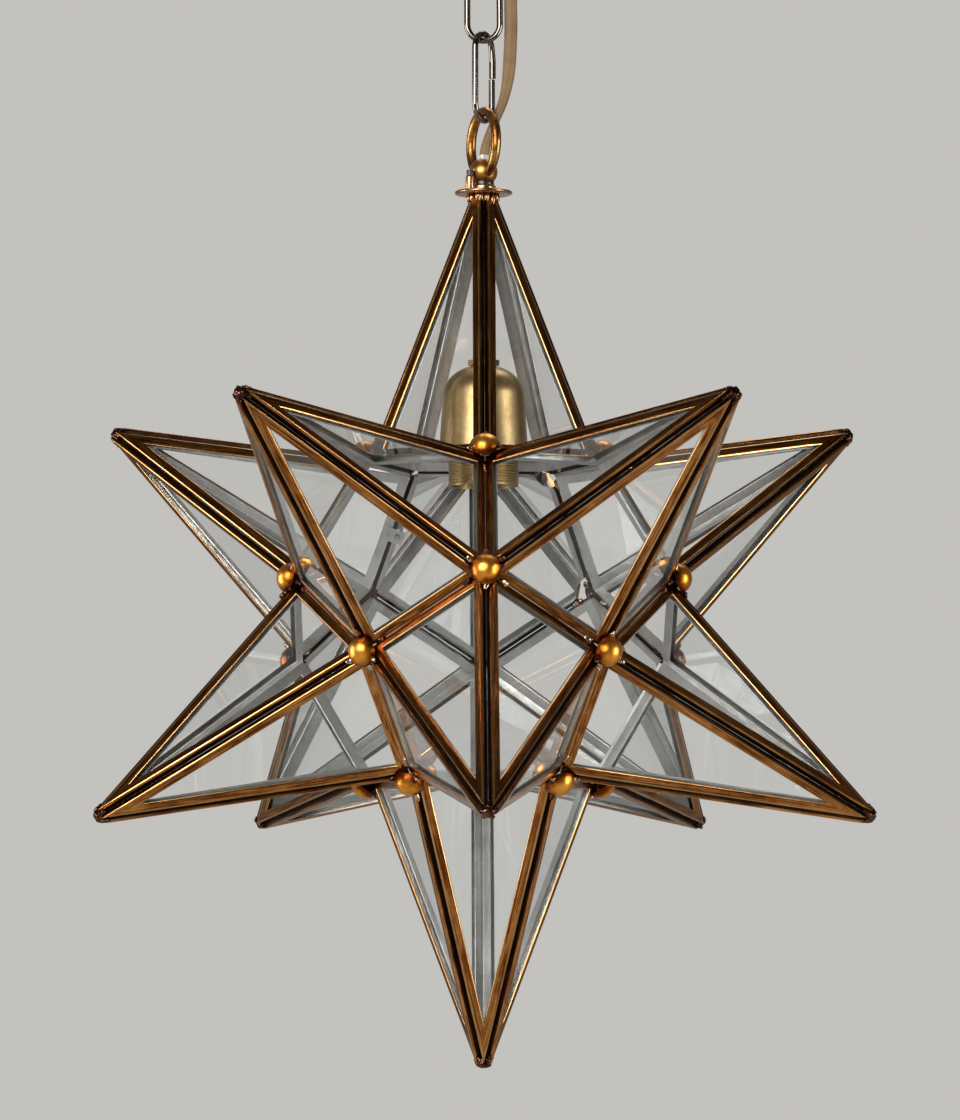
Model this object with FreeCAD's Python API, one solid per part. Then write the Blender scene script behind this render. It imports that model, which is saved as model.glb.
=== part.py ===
import FreeCAD, Part
import math
import os

# Star-shaped glass lantern hung on a chain. Millimetres, +Z up.
# The origin is the ceiling plane at the middle of the ceiling cup. -Y is the front.

V = FreeCAD.Vector

# ---- fits ----
play = 0.3                # running gap between pieces that move on each other
running_fit = 0.1         # round the ring's turned-down ends in the ball
seat_gap = 0.05           # hairline left between pieces that are soldered or screwed together

# ---- star cage: twelve five-sided points on the faces of a dodecahedron ----
cage_edge = 78.9          # edge of the dodecahedron, the base edge of every pane
apex_reach = 257.2        # centre of the star to where the outer faces of a point would meet
came_depth = 4.3          # channel section of the pane frames, square to the glass
came_flange = 5.2         # width of the channel's flanges
came_wall = 0.6           # brass strip that the channel is rolled from
pane_gap = 0.15           # glass to the channel all round
crown_drop = 21.2         # underside of the top collar below where the top point's faces would meet
glass_crown_drop = 12.0   # the top point's glass stops this far below the collar
stem_clearance = 0.2      # frames and glass round the stem

# ---- domed buttons and solder tips ----
button_radius = 8.0
button_height = 6.5
button_lift = 3.0         # underside of a button above the corner that it covers
button_core_radius = 5.5  # solder that fills the corner beneath a button
button_core_depth = 5.0
tip_cover = 3.6           # the channels are cut off this far below the point's inner end
tip_foot_radius = 6.3
tip_waist_radius = 5.7
tip_radius = 4.4
tip_end_radius = 3.2
tip_end_height = 2.4

# ---- hinged rear point, through which the lamp is changed ----
door_gap = 0.4            # seam round the rear point's base
hinge_radius = 2.0
hinge_pin_radius = 0.9
hinge_length = 30.0
hinge_leaf = 0.8          # thickness of the leaf under each knuckle
hinge_leaf_width = 4.6
knuckle_gap = 0.4
catch_plate = 1.2         # thickness of the two catch plates
catch_width = 8.0
catch_stud_radius = 1.2
catch_stud_length = 5.5

# ---- top fittings ----
collar_radius = 16.0
collar_thickness = 2.0
collar_nut_radius = 6.8
collar_nut_height = 3.0
lock_nut_radius = 5.8
lock_nut_height = 2.2
ball_radius = 7.75
ball_seat = 5.5           # flat underside of the ball below its centre
ball_top = 6.7            # flat top of the ball above its centre
post_radius = 2.4
post_height = 7.3
post_offset = V(-7.6, -6.3, 0)
post_screw_radius = 1.9
post_screw_height = 3.6
bush_wall = 0.75
bush_height = 2.6
stem_radius = 5.0
stem_wall = 1.2
stem_length = 108.0
stem_in_ball = 1.6        # thread of the stem that stands inside the ball

# ---- ring and chain ----
ring_radius = 17.7        # to the middle of the wire
ring_wire = 2.75
ring_turn = -67.5         # plan angle of the ring from +X
journal_radius = 2.3      # the ring's turned-down ends, which enter the ball
journal_start = 3.7
journal_end = 8.6
link_wire = 1.75
link_half_width = 9.05    # to the middle of the wire
link_pitch = 48.5         # between the middles of the two end wires
link_butt = 0.4           # open joint half way up one side of a link
lower_link_turn = 58.6    # plan angle of the lower link from +X

# ---- flex: points chosen by hand, above the centre of the ball; the last one is under the block ----
flex_radius = 2.8
flex_route = [
    V(0, 0, -2.7), V(0, 0, 9.6), V(2.3, -0.4, 18.6), V(6.3, -0.9, 28.4), V(10.7, -0.6, 38.3),
    V(13.2, -0.2, 49.0), V(14.4, 0.1, 59.9), V(14.9, 0.3, 71.1), V(15.3, 0.3, 82.1),
    V(15.0, 0.2, 93.1), V(15.2, 0, 104.1), V(16.3, -0.1, 114.9), V(17.6, 0, 125.7),
    V(18.0, 0, 136.5), V(17.9, 0, 147.3), V(18.0, 0, 157.3),
]
flex_cuts = [4, 8, 12]    # the runs, counted from 1, at whose middles the flex is divided

# ---- ceiling fitting ----
canopy_radius = 55.0
canopy_height = 28.0
canopy_wall = 1.2
canopy_rim = 5.0
canopy_face_radius = 27.0
canopy_facets = 7         # cones that make up the rounded shoulder
bracket_length = 86.0
bracket_width = 20.0
bracket_thickness = 2.0
bracket_slot_radius = 2.6
bracket_slot_length = 12.0
bracket_spacing = 60.0
hub_nut_radius = 6.5
hub_nut_height = 6.0
canopy_nut_radius = 7.5
canopy_nut_height = 4.0
hook_wire = 2.5
hook_bowl = 7.5
hook_reach = 21.95        # ceiling cup's face down to the middle of the wire in the hook's bowl
hook_shank = 5.0          # straight shank between the cup's face and the hook's neck
grip_body_radius = 5.6
grip_body_height = 9.0
grip_flange_radius = 7.0
grip_flange_height = 2.0
grip_nose_height = 5.0
grip_nut_height = 3.5
block_length = 16.0
block_width = 12.0
block_height = 7.6
block_screw_radius = 1.6
block_screw_depth = 3.0
block_clearance = 0.3892  # top of the terminal block to the strap above it

# ---- lampholder ----
bell_top_radius = 22.5
bell_foot_radius = 24.8
bell_shoulder = 17.0
bell_shoulder_width = 20.5
bell_height = 50.6
bell_wall = 1.0
bell_facets = 8           # cones that make up the shoulder
bell_nut_radius = 8.7
bell_nut_height = 3.0
sleeve_radius = 19.5
sleeve_wall = 1.5
sleeve_length = 45.0
sleeve_drop = 22.0        # sleeve's top below the bell's top
shade_ring_radius = 27.0
shade_ring_height = 1.9
cap_height = 12.0
cap_boss_radius = 7.0
cap_lip = 3.0             # how far the cap reaches down inside the sleeve
insert_wall = 3.4
insert_floor = 7.0
insert_depth = 27.0
shell_radius = 13.9       # outside of the screw shell for the lamp cap
shell_wall = 0.5
shell_depth = 24.0
contact_width = 5.0
contact_radius = 2.5
contact_drop = 3.0        # the screw shell starts this far below the insert's floor

# ---- derived heights, from the ceiling down ----
hook_bowl_z = -(canopy_height + hook_reach)
upper_link_top = hook_bowl_z + hook_wire + link_wire + play
upper_link_foot = upper_link_top - link_pitch
lower_link_top = upper_link_foot + 2 * link_wire + play
lower_link_foot = lower_link_top - link_pitch
ring_top = lower_link_foot + link_wire + ring_wire + play
ring_centre = ring_top - ring_radius
ring_root = ball_radius + 0.15
ball_z = ring_centre - math.sqrt(ring_radius ** 2 - ring_root ** 2)
lock_nut_z = ball_z - ball_seat - lock_nut_height
collar_nut_z = lock_nut_z - collar_nut_height
collar_z = collar_nut_z - collar_thickness
crown_height = apex_reach - crown_drop
star_z = collar_z - crown_height
block_foot = -(bracket_thickness + block_clearance + block_height)
flex_rise = block_foot - seat_gap - ball_z
stem_top = ball_z - ball_seat + stem_in_ball
stem_foot = stem_top - stem_length
bell_top = stem_foot + 4.2
sleeve_top = bell_top - sleeve_drop
sleeve_foot = sleeve_top - sleeve_length
insert_top = sleeve_top - cap_lip - seat_gap
bell_foot = bell_top - bell_height
star_centre = V(0, 0, star_z)

# ---- dodecahedron ratios ----
golden = (1 + math.sqrt(5)) / 2
vertex_radius = cage_edge * math.sqrt(3) * golden / 2
face_radius = cage_edge * golden ** 2 / (2 * math.sqrt(3 - golden))
base_radius = cage_edge / (2 * math.sin(math.pi / 5))
base_apothem = cage_edge / (2 * math.tan(math.pi / 5))
point_height = apex_reach - face_radius
slant = math.hypot(point_height, base_apothem)
face_slope = math.atan2(point_height, base_apothem)
tip_half_angle = math.atan2(cage_edge / 2, slant)
ridge_half_turn = math.asin(math.sin(math.pi / 5) * math.sin(face_slope))
ridge_inset = (came_depth + seat_gap) * math.tan(ridge_half_turn)
inner_reach = apex_reach - came_depth / math.cos(face_slope)
tip_foot = inner_reach - face_radius - tip_cover


def write(name, shapes):
    """One file for one named piece, or for one group of alike pieces."""
    if not isinstance(shapes, list):
        shapes = [shapes]
    solids = [solid for shape in shapes for solid in shape.Solids]
    body = solids[0] if len(solids) == 1 else Part.makeCompound(solids)
    body.exportStep("parts/%s.step" % name)
    volume = sum(solid.Volume for solid in solids)
    print("%-22s %2d solids %11.1f mm3" % (name, len(solids), volume))


def carried(shape, x_axis, z_axis, origin):
    """The shape with its own X and Z laid along two directions and its origin at a point."""
    z = V(z_axis).normalize()
    y = z.cross(V(x_axis)).normalize()
    x = y.cross(z)
    place = FreeCAD.Matrix(x.x, y.x, z.x, origin.x, x.y, y.y, z.y, origin.y,
                           x.z, y.z, z.z, origin.z, 0, 0, 0, 1)
    moved = shape.copy()
    moved.Placement = FreeCAD.Placement(place).multiply(moved.Placement)
    return moved


def disc(radius, low, high, at=V(0, 0, 0), bore=0.0):
    """An upright cylinder between two heights, with a bore if one is given."""
    solid = Part.makeCylinder(radius, high - low, V(at.x, at.y, low))
    if bore > 0:
        solid = solid.cut(Part.makeCylinder(bore, high - low + 2, V(at.x, at.y, low - 1)))
    return solid


def block(low, high):
    """A box between two corners."""
    return Part.makeBox(high.x - low.x, high.y - low.y, high.z - low.z, low)


def turned(edges, at=V(0, 0, 0)):
    """A closed outline in the XZ plane, spun about the Z axis."""
    face = Part.Face(Part.Wire(edges))
    solid = face.revolve(V(0, 0, 0), V(0, 0, 1), 360)
    solid.translate(at)
    return solid


def line(a, b):
    return Part.LineSegment(a, b).toShape()


def arc(a, through, b):
    return Part.Arc(a, through, b).toShape()


def chain_of(points):
    """Straight edges from point to point."""
    return [line(a, b) for a, b in zip(points, points[1:])]


def swept(edges, radius):
    """A round wire bent along a path."""
    path = Part.Wire(edges)
    first = path.OrderedEdges[0]
    start = first.valueAt(first.FirstParameter)
    along = first.tangentAt(first.FirstParameter)
    if path.OrderedVertexes[0].Point.distanceToPoint(start) > 1e-6:
        start = first.valueAt(first.LastParameter)
        along = first.tangentAt(first.LastParameter)
    section = Part.Wire(Part.makeCircle(radius, start, along))
    return path.makePipeShell([section], True, False)


# ---------------------------------------------------------------- star geometry

def bearing(turn, radius, height):
    """A place given by its plan angle from the front, towards +X, from the star's centre."""
    a = math.radians(turn)
    return V(radius * math.sin(a), -radius * math.cos(a), height)


cap_height_share = 0.794654   # height of the caps' corners over the vertex radius
belt_height_share = 0.187592  # height of the belt's corners over the vertex radius


def corner(turn, share):
    height = share * vertex_radius
    return bearing(turn, math.sqrt(vertex_radius ** 2 - height ** 2), height)


# corners by ring and sector: sector 0 is at the front, and the sectors follow towards +X
star_corners = {}
fifth = 360 / 5
for sector in range(5):
    star_corners["cap", sector] = corner(sector * fifth, cap_height_share)
    star_corners["belt", sector] = corner(sector * fifth, belt_height_share)
for sector in range(5):
    star_corners["under_belt", sector] = corner((sector + 0.5) * fifth, -belt_height_share)
    star_corners["under_cap", sector] = corner((sector + 0.5) * fifth, -cap_height_share)

# name of each point: its direction, and one corner of its base
star_points = {
    "top": (V(0, 0, 1), star_corners["cap", 0]),
    "bottom": (V(0, 0, -1), star_corners["under_cap", 2]),
}
for sector, name in enumerate(("front_right", "right", "rear", "left", "front_left")):
    direction = bearing((sector + 0.5) * fifth, 1, 0.5)
    star_points["upper_" + name] = (direction, star_corners["under_belt", sector])
for sector, name in enumerate(("front", "right", "rear_right", "rear_left", "left")):
    direction = bearing(sector * fifth, 1, -0.5)
    star_points["lower_" + name] = (direction, star_corners["belt", sector])


def base_corner(k):
    a = 2 * math.pi * k / 5
    return V(base_radius * math.cos(a), base_radius * math.sin(a), 0)


def pane_axes(k):
    """Middle of a pane's base edge, its direction along the base and up the slope, and its normal."""
    left, right = base_corner(k), base_corner(k + 1)
    middle = (left + right) * 0.5
    along = (right - left).normalize()
    up = (V(0, 0, point_height) - middle).normalize()
    return middle, along, up, along.cross(up)


def pane_outline(base_gap, inset):
    """A pane's triangle in its own plane, drawn in by one amount on all three sides."""
    side_inset = ridge_inset + inset
    peak = slant - side_inset / math.sin(tip_half_angle)
    foot = base_gap + inset
    half = (peak - foot) * math.tan(tip_half_angle)
    return [V(-half, foot, 0), V(half, foot, 0), V(0, peak, 0)]


def slab(points, top, bottom):
    """A flat plate between two depths below the pane's outer face."""
    wire = Part.makePolygon([p + V(0, 0, top) for p in points + points[:1]])
    return Part.Face(wire).extrude(V(0, 0, bottom - top))


def in_pane(shape, k):
    middle, along, up, normal = pane_axes(k)
    return carried(shape, along, normal, middle)


def on_point(shape, name):
    """A shape made in a point's own frame, put in its place on the star."""
    direction, start = star_points[name]
    out = V(direction).normalize()
    return carried(shape, start, out, star_centre + out * face_radius)


def pane_frame(base_gap):
    """Channel bent round one pane: an outer plate, less its window and the groove for the glass."""
    plate = slab(pane_outline(base_gap, 0), 0, -came_depth)
    window = slab(pane_outline(base_gap, came_flange), 1, -came_depth - 1)
    groove = slab(pane_outline(base_gap, came_wall), -came_wall, came_wall - came_depth)
    return plate.cut(window).cut(groove)


def pane_glass(base_gap):
    edge_cover = came_wall + pane_gap
    return slab(pane_outline(base_gap, edge_cover), -edge_cover, edge_cover - came_depth)


def five_panes(shape, name):
    """One pane's shape repeated round a point, cut off square beneath the point's solder cap."""
    reach = base_radius / 3
    end_cut = block(V(-reach, -reach, tip_foot), V(reach, reach, point_height + 1))
    return [on_point(in_pane(shape, k).cut(end_cut), name) for k in range(5)]


def point_frames(name, base_gap=0.0):
    return five_panes(pane_frame(base_gap), name)


def point_glass(name, base_gap=0.0):
    return five_panes(pane_glass(base_gap), name)


def five_sided(height):
    """A pyramid on a point's base, up to the point's peak or down towards the star's centre."""
    corners = [base_corner(k) for k in range(5)]
    peak = V(0, 0, height)
    faces = [Part.Face(Part.makePolygon(corners + corners[:1]))]
    for k in range(5):
        faces.append(Part.Face(Part.makePolygon([corners[k], corners[(k + 1) % 5], peak, corners[k]])))
    bulk = Part.Solid(Part.Shell(faces))
    if bulk.Volume < 0:
        bulk.reverse()
    return bulk


def near_points(place):
    """The three points of the star whose bases share a corner."""
    out = V(place).normalize()
    ranked = sorted(star_points, key=lambda name: -V(star_points[name][0]).normalize().dot(out))
    return ranked[:3]


def button(place, gap_to=(), gap=0.0):
    """Domed button on a corner of the cage, with the solder beneath it, cut to the bars it sits on."""
    out = V(place).normalize()
    dome_radius = (button_radius ** 2 + button_height ** 2) / (2 * button_height)
    dome = Part.makeSphere(dome_radius, V(0, 0, button_height - dome_radius))
    reach = 2 * button_radius
    above = block(V(-reach, -reach, 0), V(reach, reach, reach))
    dome = dome.common(above)
    core = disc(button_core_radius, -button_core_depth, 0.5)
    whole = carried(dome.fuse(core), V(0, 0, 1).cross(out), out,
                    star_centre + out * (vertex_radius + button_lift))
    for name in near_points(place):
        whole = whole.cut(on_point(five_sided(-face_radius), name))
        bulk = on_point(five_sided(point_height), name)
        whole = whole.cut(bulk)
        if name in gap_to:
            direction = V(star_points[name][0]).normalize()
            aside = (out - direction * out.dot(direction)).normalize() / math.cos(math.pi / 5)
            bulk.translate((aside * math.sin(face_slope) + direction * math.cos(face_slope)) * gap)
            whole = whole.cut(bulk)
    return max(whole.Solids, key=lambda solid: solid.Volume)


def solder_tip(name):
    """Blunt cap of solder, dressed with ten flats, that closes the cut ends of a point's channels."""
    foot, end = tip_foot + seat_gap, inner_reach - face_radius
    stations = [(tip_foot_radius, foot), (tip_waist_radius, (foot + end) / 2 + 0.6),
                (tip_radius, end + 1.2), (tip_end_radius, end + tip_end_height)]
    rings = []
    for radius, height in stations:
        corners = [V(radius * math.cos(math.pi * k / 5), radius * math.sin(math.pi * k / 5), height)
                   for k in range(11)]
        rings.append(Part.makePolygon(corners))
    return on_point(Part.makeLoft(rings, True, True), name)


# ---------------------------------------------------------------- ceiling fitting

def canopy():
    """Spun cup: a short upright rim, a rounded shoulder and a flat face."""
    def profile(grow):
        rim, low = canopy_radius - grow, -canopy_height + grow
        across, down = rim - canopy_face_radius, canopy_height - grow - canopy_rim
        points = [V(0, 0, 0), V(rim, 0, 0)]
        for k in range(canopy_facets + 1):
            a = math.pi / 2 * k / canopy_facets
            points.append(V(canopy_face_radius + across * math.cos(a), 0,
                            -canopy_rim - down * math.sin(a)))
        return turned(chain_of(points + [V(0, 0, low), V(0, 0, 0)]))
    cup = profile(0).cut(profile(canopy_wall))
    top = -canopy_height - 1
    cup = cup.cut(disc(hook_wire + play, top, top + canopy_wall + 2))
    grip_at = flex_point(len(flex_route) - 1)
    return cup.cut(disc(grip_body_radius + seat_gap, top, top + canopy_wall + 2, grip_at))


def bracket():
    half = bracket_length / 2
    strap = block(V(-half, -bracket_width / 2, -bracket_thickness), V(half, bracket_width / 2, 0))
    upright = [e for e in strap.Edges if abs(e.tangentAt(e.FirstParameter).z) > 0.99]
    strap = strap.makeFillet(bracket_width * 0.3, upright)
    run = bracket_slot_length / 2 - bracket_slot_radius
    low = -bracket_thickness - 1
    for side in (-1, 1):
        middle = side * bracket_spacing / 2
        slot = block(V(middle - run, -bracket_slot_radius, low), V(middle + run, bracket_slot_radius, 1))
        for end in (-run, run):
            slot = slot.fuse(disc(bracket_slot_radius, low, 1, V(middle + end, 0, 0)))
        strap = strap.cut(slot.removeSplitter())
    return strap.cut(disc(hook_wire + seat_gap, low, 1))


def hexagon(across, low, high, bore, at=V(0, 0, 0)):
    """A six-sided nut, given half its width across the corners."""
    ring = [V(across * math.cos(math.pi * k / 3), across * math.sin(math.pi * k / 3), low)
            for k in range(7)]
    nut = Part.Face(Part.makePolygon(ring)).extrude(V(0, 0, high - low))
    nut.translate(V(at.x, at.y, 0))
    return nut.cut(disc(bore, low - 1, high + 1, at))


def ceiling_hook():
    """Shank, a neck that leans out by the bowl's radius, and a bowl of over half a turn."""
    bowl_centre = V(0, 0, hook_bowl_z + hook_bowl)
    neck_top = V(0, 0, -canopy_height - hook_shank)
    height = neck_top.z - bowl_centre.z
    lean = 2 * math.atan2(hook_bowl, height)
    bend = height / (2 * math.sin(lean))
    half = V(0, bend * (1 - math.cos(lean / 2)), neck_top.z - bend * math.sin(lean / 2))
    waist = V(0, bend * (1 - math.cos(lean)), neck_top.z - bend * math.sin(lean))
    start = V(0, hook_bowl, bowl_centre.z)
    other = V(0, hook_bowl - half.y, start.z + (neck_top.z - half.z))
    tip_lift = math.radians(20)
    tip = bowl_centre + V(0, -hook_bowl * math.cos(tip_lift), hook_bowl * math.sin(tip_lift))
    edges = [line(V(0, 0, -0.4), neck_top)]
    edges.append(arc(neck_top, half, waist))
    edges.append(arc(waist, other, start))
    edges.append(arc(start, bowl_centre - V(0, 0, hook_bowl), bowl_centre - V(0, hook_bowl, 0)))
    edges.append(arc(bowl_centre - V(0, hook_bowl, 0),
                     bowl_centre + V(0, -hook_bowl * math.cos(tip_lift / 2),
                                     hook_bowl * math.sin(tip_lift / 2)), tip))
    wire = swept(edges, hook_wire)
    return wire.fuse(Part.makeSphere(hook_wire, tip))


def flex_point(k):
    """A point of the route, its height stretched with the rise from the ball to the block."""
    point = flex_route[k]
    return V(point.x, point.y, ball_z + point.z * flex_rise / flex_route[-1].z)


def flex_bends():
    """Straight runs joined by arcs, each arc as large as its two runs allow."""
    points = [flex_point(k) for k in range(len(flex_route))]
    pieces, at = [], points[0]
    radii = []
    for before, here, after in zip(points, points[1:], points[2:]):
        a, b = (before - here), (after - here)
        reach = 0.45 * min(a.Length, b.Length)
        turn = math.pi - a.getAngle(b)
        radii.append(reach / math.tan(turn / 2))
        enter = here + a.normalize() * reach
        leave = here + b.normalize() * reach
        middle = (a + b).normalize()
        depth = radii[-1] / math.cos(turn / 2) - radii[-1]
        pieces.append((line(at, enter), arc(enter, here + middle * depth, leave)))
        at = leave
    pieces.append((line(at, points[-1]), None))
    print("flex bend radii", " ".join("%.0f" % r for r in radii))
    return points, pieces


def flex_stretches():
    """The flex in four stretches, divided at the middles of three of its runs."""
    points, pieces = flex_bends()
    stretches, edges = [], []
    for run, (straight, bend) in enumerate(pieces, start=1):
        if run in flex_cuts:
            middle = (points[run - 1] + points[run]) * 0.5
            ends = [v.Point for v in straight.Vertexes]
            edges.append(line(ends[0], middle))
            stretches.append(edges)
            edges = [line(middle, ends[1])]
        else:
            edges.append(straight)
        if bend:
            edges.append(bend)
    stretches.append(edges)
    tubes = []
    for edges in stretches:
        tube = swept(edges, flex_radius)
        length = sum(edge.Length for edge in edges)
        share = tube.Volume / (math.pi * flex_radius ** 2 * length)
        print("flex stretch %.1f mm, volume over section times length %.4f" % (length, share))
        tubes.append(tube)
    return tubes


def cord_grip():
    """Moulded grip: a threaded body through the cup's face, a flange below it and a domed nose."""
    at = flex_point(len(flex_route) - 1)
    face = -canopy_height
    bore = flex_radius + play
    low = face - grip_flange_height
    high = face + grip_body_height
    outline = chain_of([V(bore, 0, high), V(bore, 0, low - grip_nose_height)])
    outline += chain_of([V(bore, 0, low - grip_nose_height), V(bore + 1.2, 0, low - grip_nose_height)])
    outline += chain_of([V(bore + 1.2, 0, low - grip_nose_height),
                         V(grip_body_radius - 0.5, 0, low - grip_nose_height * 0.6),
                         V(grip_body_radius, 0, low), V(grip_flange_radius, 0, low),
                         V(grip_flange_radius, 0, face), V(grip_body_radius, 0, face),
                         V(grip_body_radius, 0, high), V(bore, 0, high)])
    return turned(outline, V(at.x, at.y, 0))


def terminal_block():
    """Two-way block over the grip, with a screw down into each way."""
    at = flex_point(len(flex_route) - 1)
    half = V(block_length / 2, block_width / 2, 0)
    low, high = block_foot, block_foot + block_height
    body = block(V(at.x, at.y, low) - half, V(at.x, at.y, high) + half)
    body = body.makeFillet(1.0, [e for e in body.Edges if abs(e.tangentAt(e.FirstParameter).z) > 0.99])
    screws = []
    for side in (-1, 1):
        place = V(at.x + side * block_length / 4, at.y, 0)
        body = body.cut(disc(block_screw_radius + seat_gap, high - block_screw_depth, high + 1, place))
        screw = disc(block_screw_radius, high - block_screw_depth, high - 0.6, place)
        across = block_screw_radius + 1
        slot = block(V(place.x - across, place.y - 0.3, high - 1.4),
                     V(place.x + across, place.y + 0.3, high + 1))
        screws.append(screw.cut(slot))
    return body, screws


# ---------------------------------------------------------------- chain, ring and top fittings

def chain_link(foot, turn):
    """Long link of round wire, bent round until its ends meet half way up one side."""
    half, w = link_pitch / 2, link_half_width
    straight = half - w
    gap = link_butt / 2
    path = [line(V(w, 0, gap), V(w, 0, straight)),
            arc(V(w, 0, straight), V(0, 0, half), V(-w, 0, straight)),
            line(V(-w, 0, straight), V(-w, 0, -straight)),
            arc(V(-w, 0, -straight), V(0, 0, -half), V(w, 0, -straight)),
            line(V(w, 0, -straight), V(w, 0, -gap))]
    link = swept(path, link_wire)
    link.rotate(V(0, 0, 0), V(0, 0, 1), turn)
    link.translate(V(0, 0, foot + half))
    return link


def suspension_ring():
    """Open ring whose ends are turned down and enter the two sides of the ball."""
    hoop = Part.makeTorus(ring_radius, ring_wire, V(0, 0, ring_centre), V(0, 1, 0))
    hoop = hoop.cut(Part.makeSphere(ball_radius + play, V(0, 0, ball_z)))
    for side in (-1, 1):
        start = V(side * journal_start, 0, ball_z)
        hoop = hoop.fuse(Part.makeCylinder(journal_radius, journal_end - journal_start, start,
                                           V(side, 0, 0)))
    hoop.rotate(V(0, 0, 0), V(0, 0, 1), ring_turn)
    return hoop


def ball():
    """Ball with flats above and below, bored upright for the flex and across for the ring's ends."""
    body = Part.makeSphere(ball_radius, V(0, 0, ball_z))
    reach = 2 * ball_radius
    body = body.common(disc(reach, ball_z - ball_seat, ball_z + ball_top))
    body = body.cut(disc(flex_radius + play, ball_z - reach, ball_z + reach))
    body = body.cut(disc(stem_radius + seat_gap, ball_z - reach, stem_top + seat_gap))
    across = V(math.cos(math.radians(ring_turn)), math.sin(math.radians(ring_turn)), 0)
    cross_bore = Part.makeCylinder(journal_radius + running_fit, 2 * reach,
                                   V(0, 0, ball_z) - across * reach, across)
    return body.cut(cross_bore)


def collar():
    """Flat disc with bevelled rims."""
    disc_ = disc(collar_radius, collar_z, collar_z + collar_thickness)
    disc_ = disc_.makeChamfer(collar_thickness * 0.3, [e for e in disc_.Edges
                                                       if e.Curve.TypeId == "Part::GeomCircle"])
    return disc_.cut(disc(stem_radius + seat_gap, collar_z - 1, collar_z + collar_thickness + 1))


def post_with_screw():
    low = collar_z + collar_thickness
    high = low + post_height
    post = disc(post_radius, low, high, post_offset)
    post = post.makeChamfer(0.4, [e for e in post.Edges if e.BoundBox.ZMin > high - 0.01])
    head = disc(post_screw_radius, high, high + post_screw_height, post_offset)
    head = head.makeChamfer(0.6, [e for e in head.Edges
                                 if e.BoundBox.ZMin > high + post_screw_height - 0.01])
    return post, head


# ---------------------------------------------------------------- lampholder

def bell():
    """Spun cover: an elliptical shoulder that runs into a slightly flared skirt."""
    def bulk(grow, foot):
        across, down = bell_shoulder_width - grow, bell_shoulder - grow
        hub = bell_top_radius - bell_shoulder_width
        points = [V(0, 0, bell_top - grow)]
        for k in range(bell_facets + 1):
            a = math.pi / 2 * k / bell_facets
            points.append(V(hub + across * math.sin(a), 0, bell_top - bell_shoulder + down * math.cos(a)))
        points += [V(bell_foot_radius - grow, 0, foot), V(0, 0, foot), points[0]]
        return turned(chain_of(points))
    cover = bulk(0, bell_foot).cut(bulk(bell_wall, bell_foot - 1))
    return cover.cut(disc(stem_radius + seat_gap, bell_top - 5, bell_top + 1))


def shade_ring():
    """Threaded ring on the sleeve that the cover's skirt rests on."""
    low, high = bell_foot - shade_ring_height, bell_foot
    inner, outer = sleeve_radius + seat_gap, shade_ring_radius
    return turned(chain_of([V(inner, 0, low), V(outer - 0.9, 0, low), V(outer, 0, low + 0.7),
                            V(outer, 0, high - 0.5), V(outer - 0.5, 0, high), V(inner, 0, high),
                            V(inner, 0, low)]))


def lamp_cap():
    """Cap of the lampholder: a boss on the stem's end and a skirt that the sleeve screws to."""
    high = bell_top - bell_wall - 3 * play
    skirt = sleeve_radius - sleeve_wall - seat_gap
    top = sleeve_top + cap_height * 0.5
    outline = chain_of([V(stem_radius + seat_gap, 0, high), V(cap_boss_radius, 0, high),
                        V(cap_boss_radius, 0, top + 2)])
    outline += chain_of([V(cap_boss_radius, 0, top + 2), V(cap_boss_radius + 2, 0, top),
                         V(sleeve_radius, 0, top), V(sleeve_radius, 0, sleeve_top + seat_gap),
                         V(skirt, 0, sleeve_top + seat_gap),
                         V(skirt, 0, sleeve_top - cap_lip), V(skirt - 1.4, 0, sleeve_top - cap_lip),
                         V(skirt - 1.4, 0, top - 1.6), V(stem_radius + seat_gap, 0, top - 1.6),
                         V(stem_radius + seat_gap, 0, high)])
    return turned(outline)


def threaded_sleeve():
    """Long sleeve with its lower lip turned in."""
    outer, inner = sleeve_radius, sleeve_radius - sleeve_wall
    outline = chain_of([V(inner, 0, sleeve_top), V(outer, 0, sleeve_top), V(outer, 0, sleeve_foot + 1)])
    outline += chain_of([V(outer, 0, sleeve_foot + 1), V(outer - 1, 0, sleeve_foot),
                         V(inner - 1.6, 0, sleeve_foot), V(inner - 1.6, 0, sleeve_foot + 1),
                         V(inner, 0, sleeve_foot + 1),
                         V(inner, 0, sleeve_top)])
    return turned(outline)


def socket():
    """Ceramic insert, the screw shell in it, the tongue at its middle and the two wiring screws."""
    inside = sleeve_radius - sleeve_wall - seat_gap
    high = insert_top
    low = high - insert_depth
    floor = high - insert_floor
    insert = disc(inside, low, high)
    insert = insert.cut(disc(shell_radius + seat_gap, low - 1, floor))
    insert = insert.cut(disc(flex_radius + 0.2, floor - 1, high + 1, V(0, inside * 0.55, 0)))
    shell = disc(shell_radius, floor - shell_depth, floor - contact_drop, bore=shell_radius - shell_wall)
    tongue = block(V(-contact_width / 2, -shell_radius + 3, floor - 1.2),
                   V(contact_width / 2, 3, floor - seat_gap))
    tongue = tongue.fuse(disc(contact_radius, floor - contact_drop + 0.4, floor - 1.0))
    screws = []
    for side in (-1, 1):
        place = V(side * inside * 0.5, 0, 0)
        head = disc(2.4, high + 0.02, high + 1.8, place)
        slot = block(V(place.x - 3, -0.3, high + 1.0), V(place.x + 3, 0.3, high + 3))
        screws.append(head.cut(slot))
    return insert, shell, tongue, screws


# ---------------------------------------------------------------- hinged rear point

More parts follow.
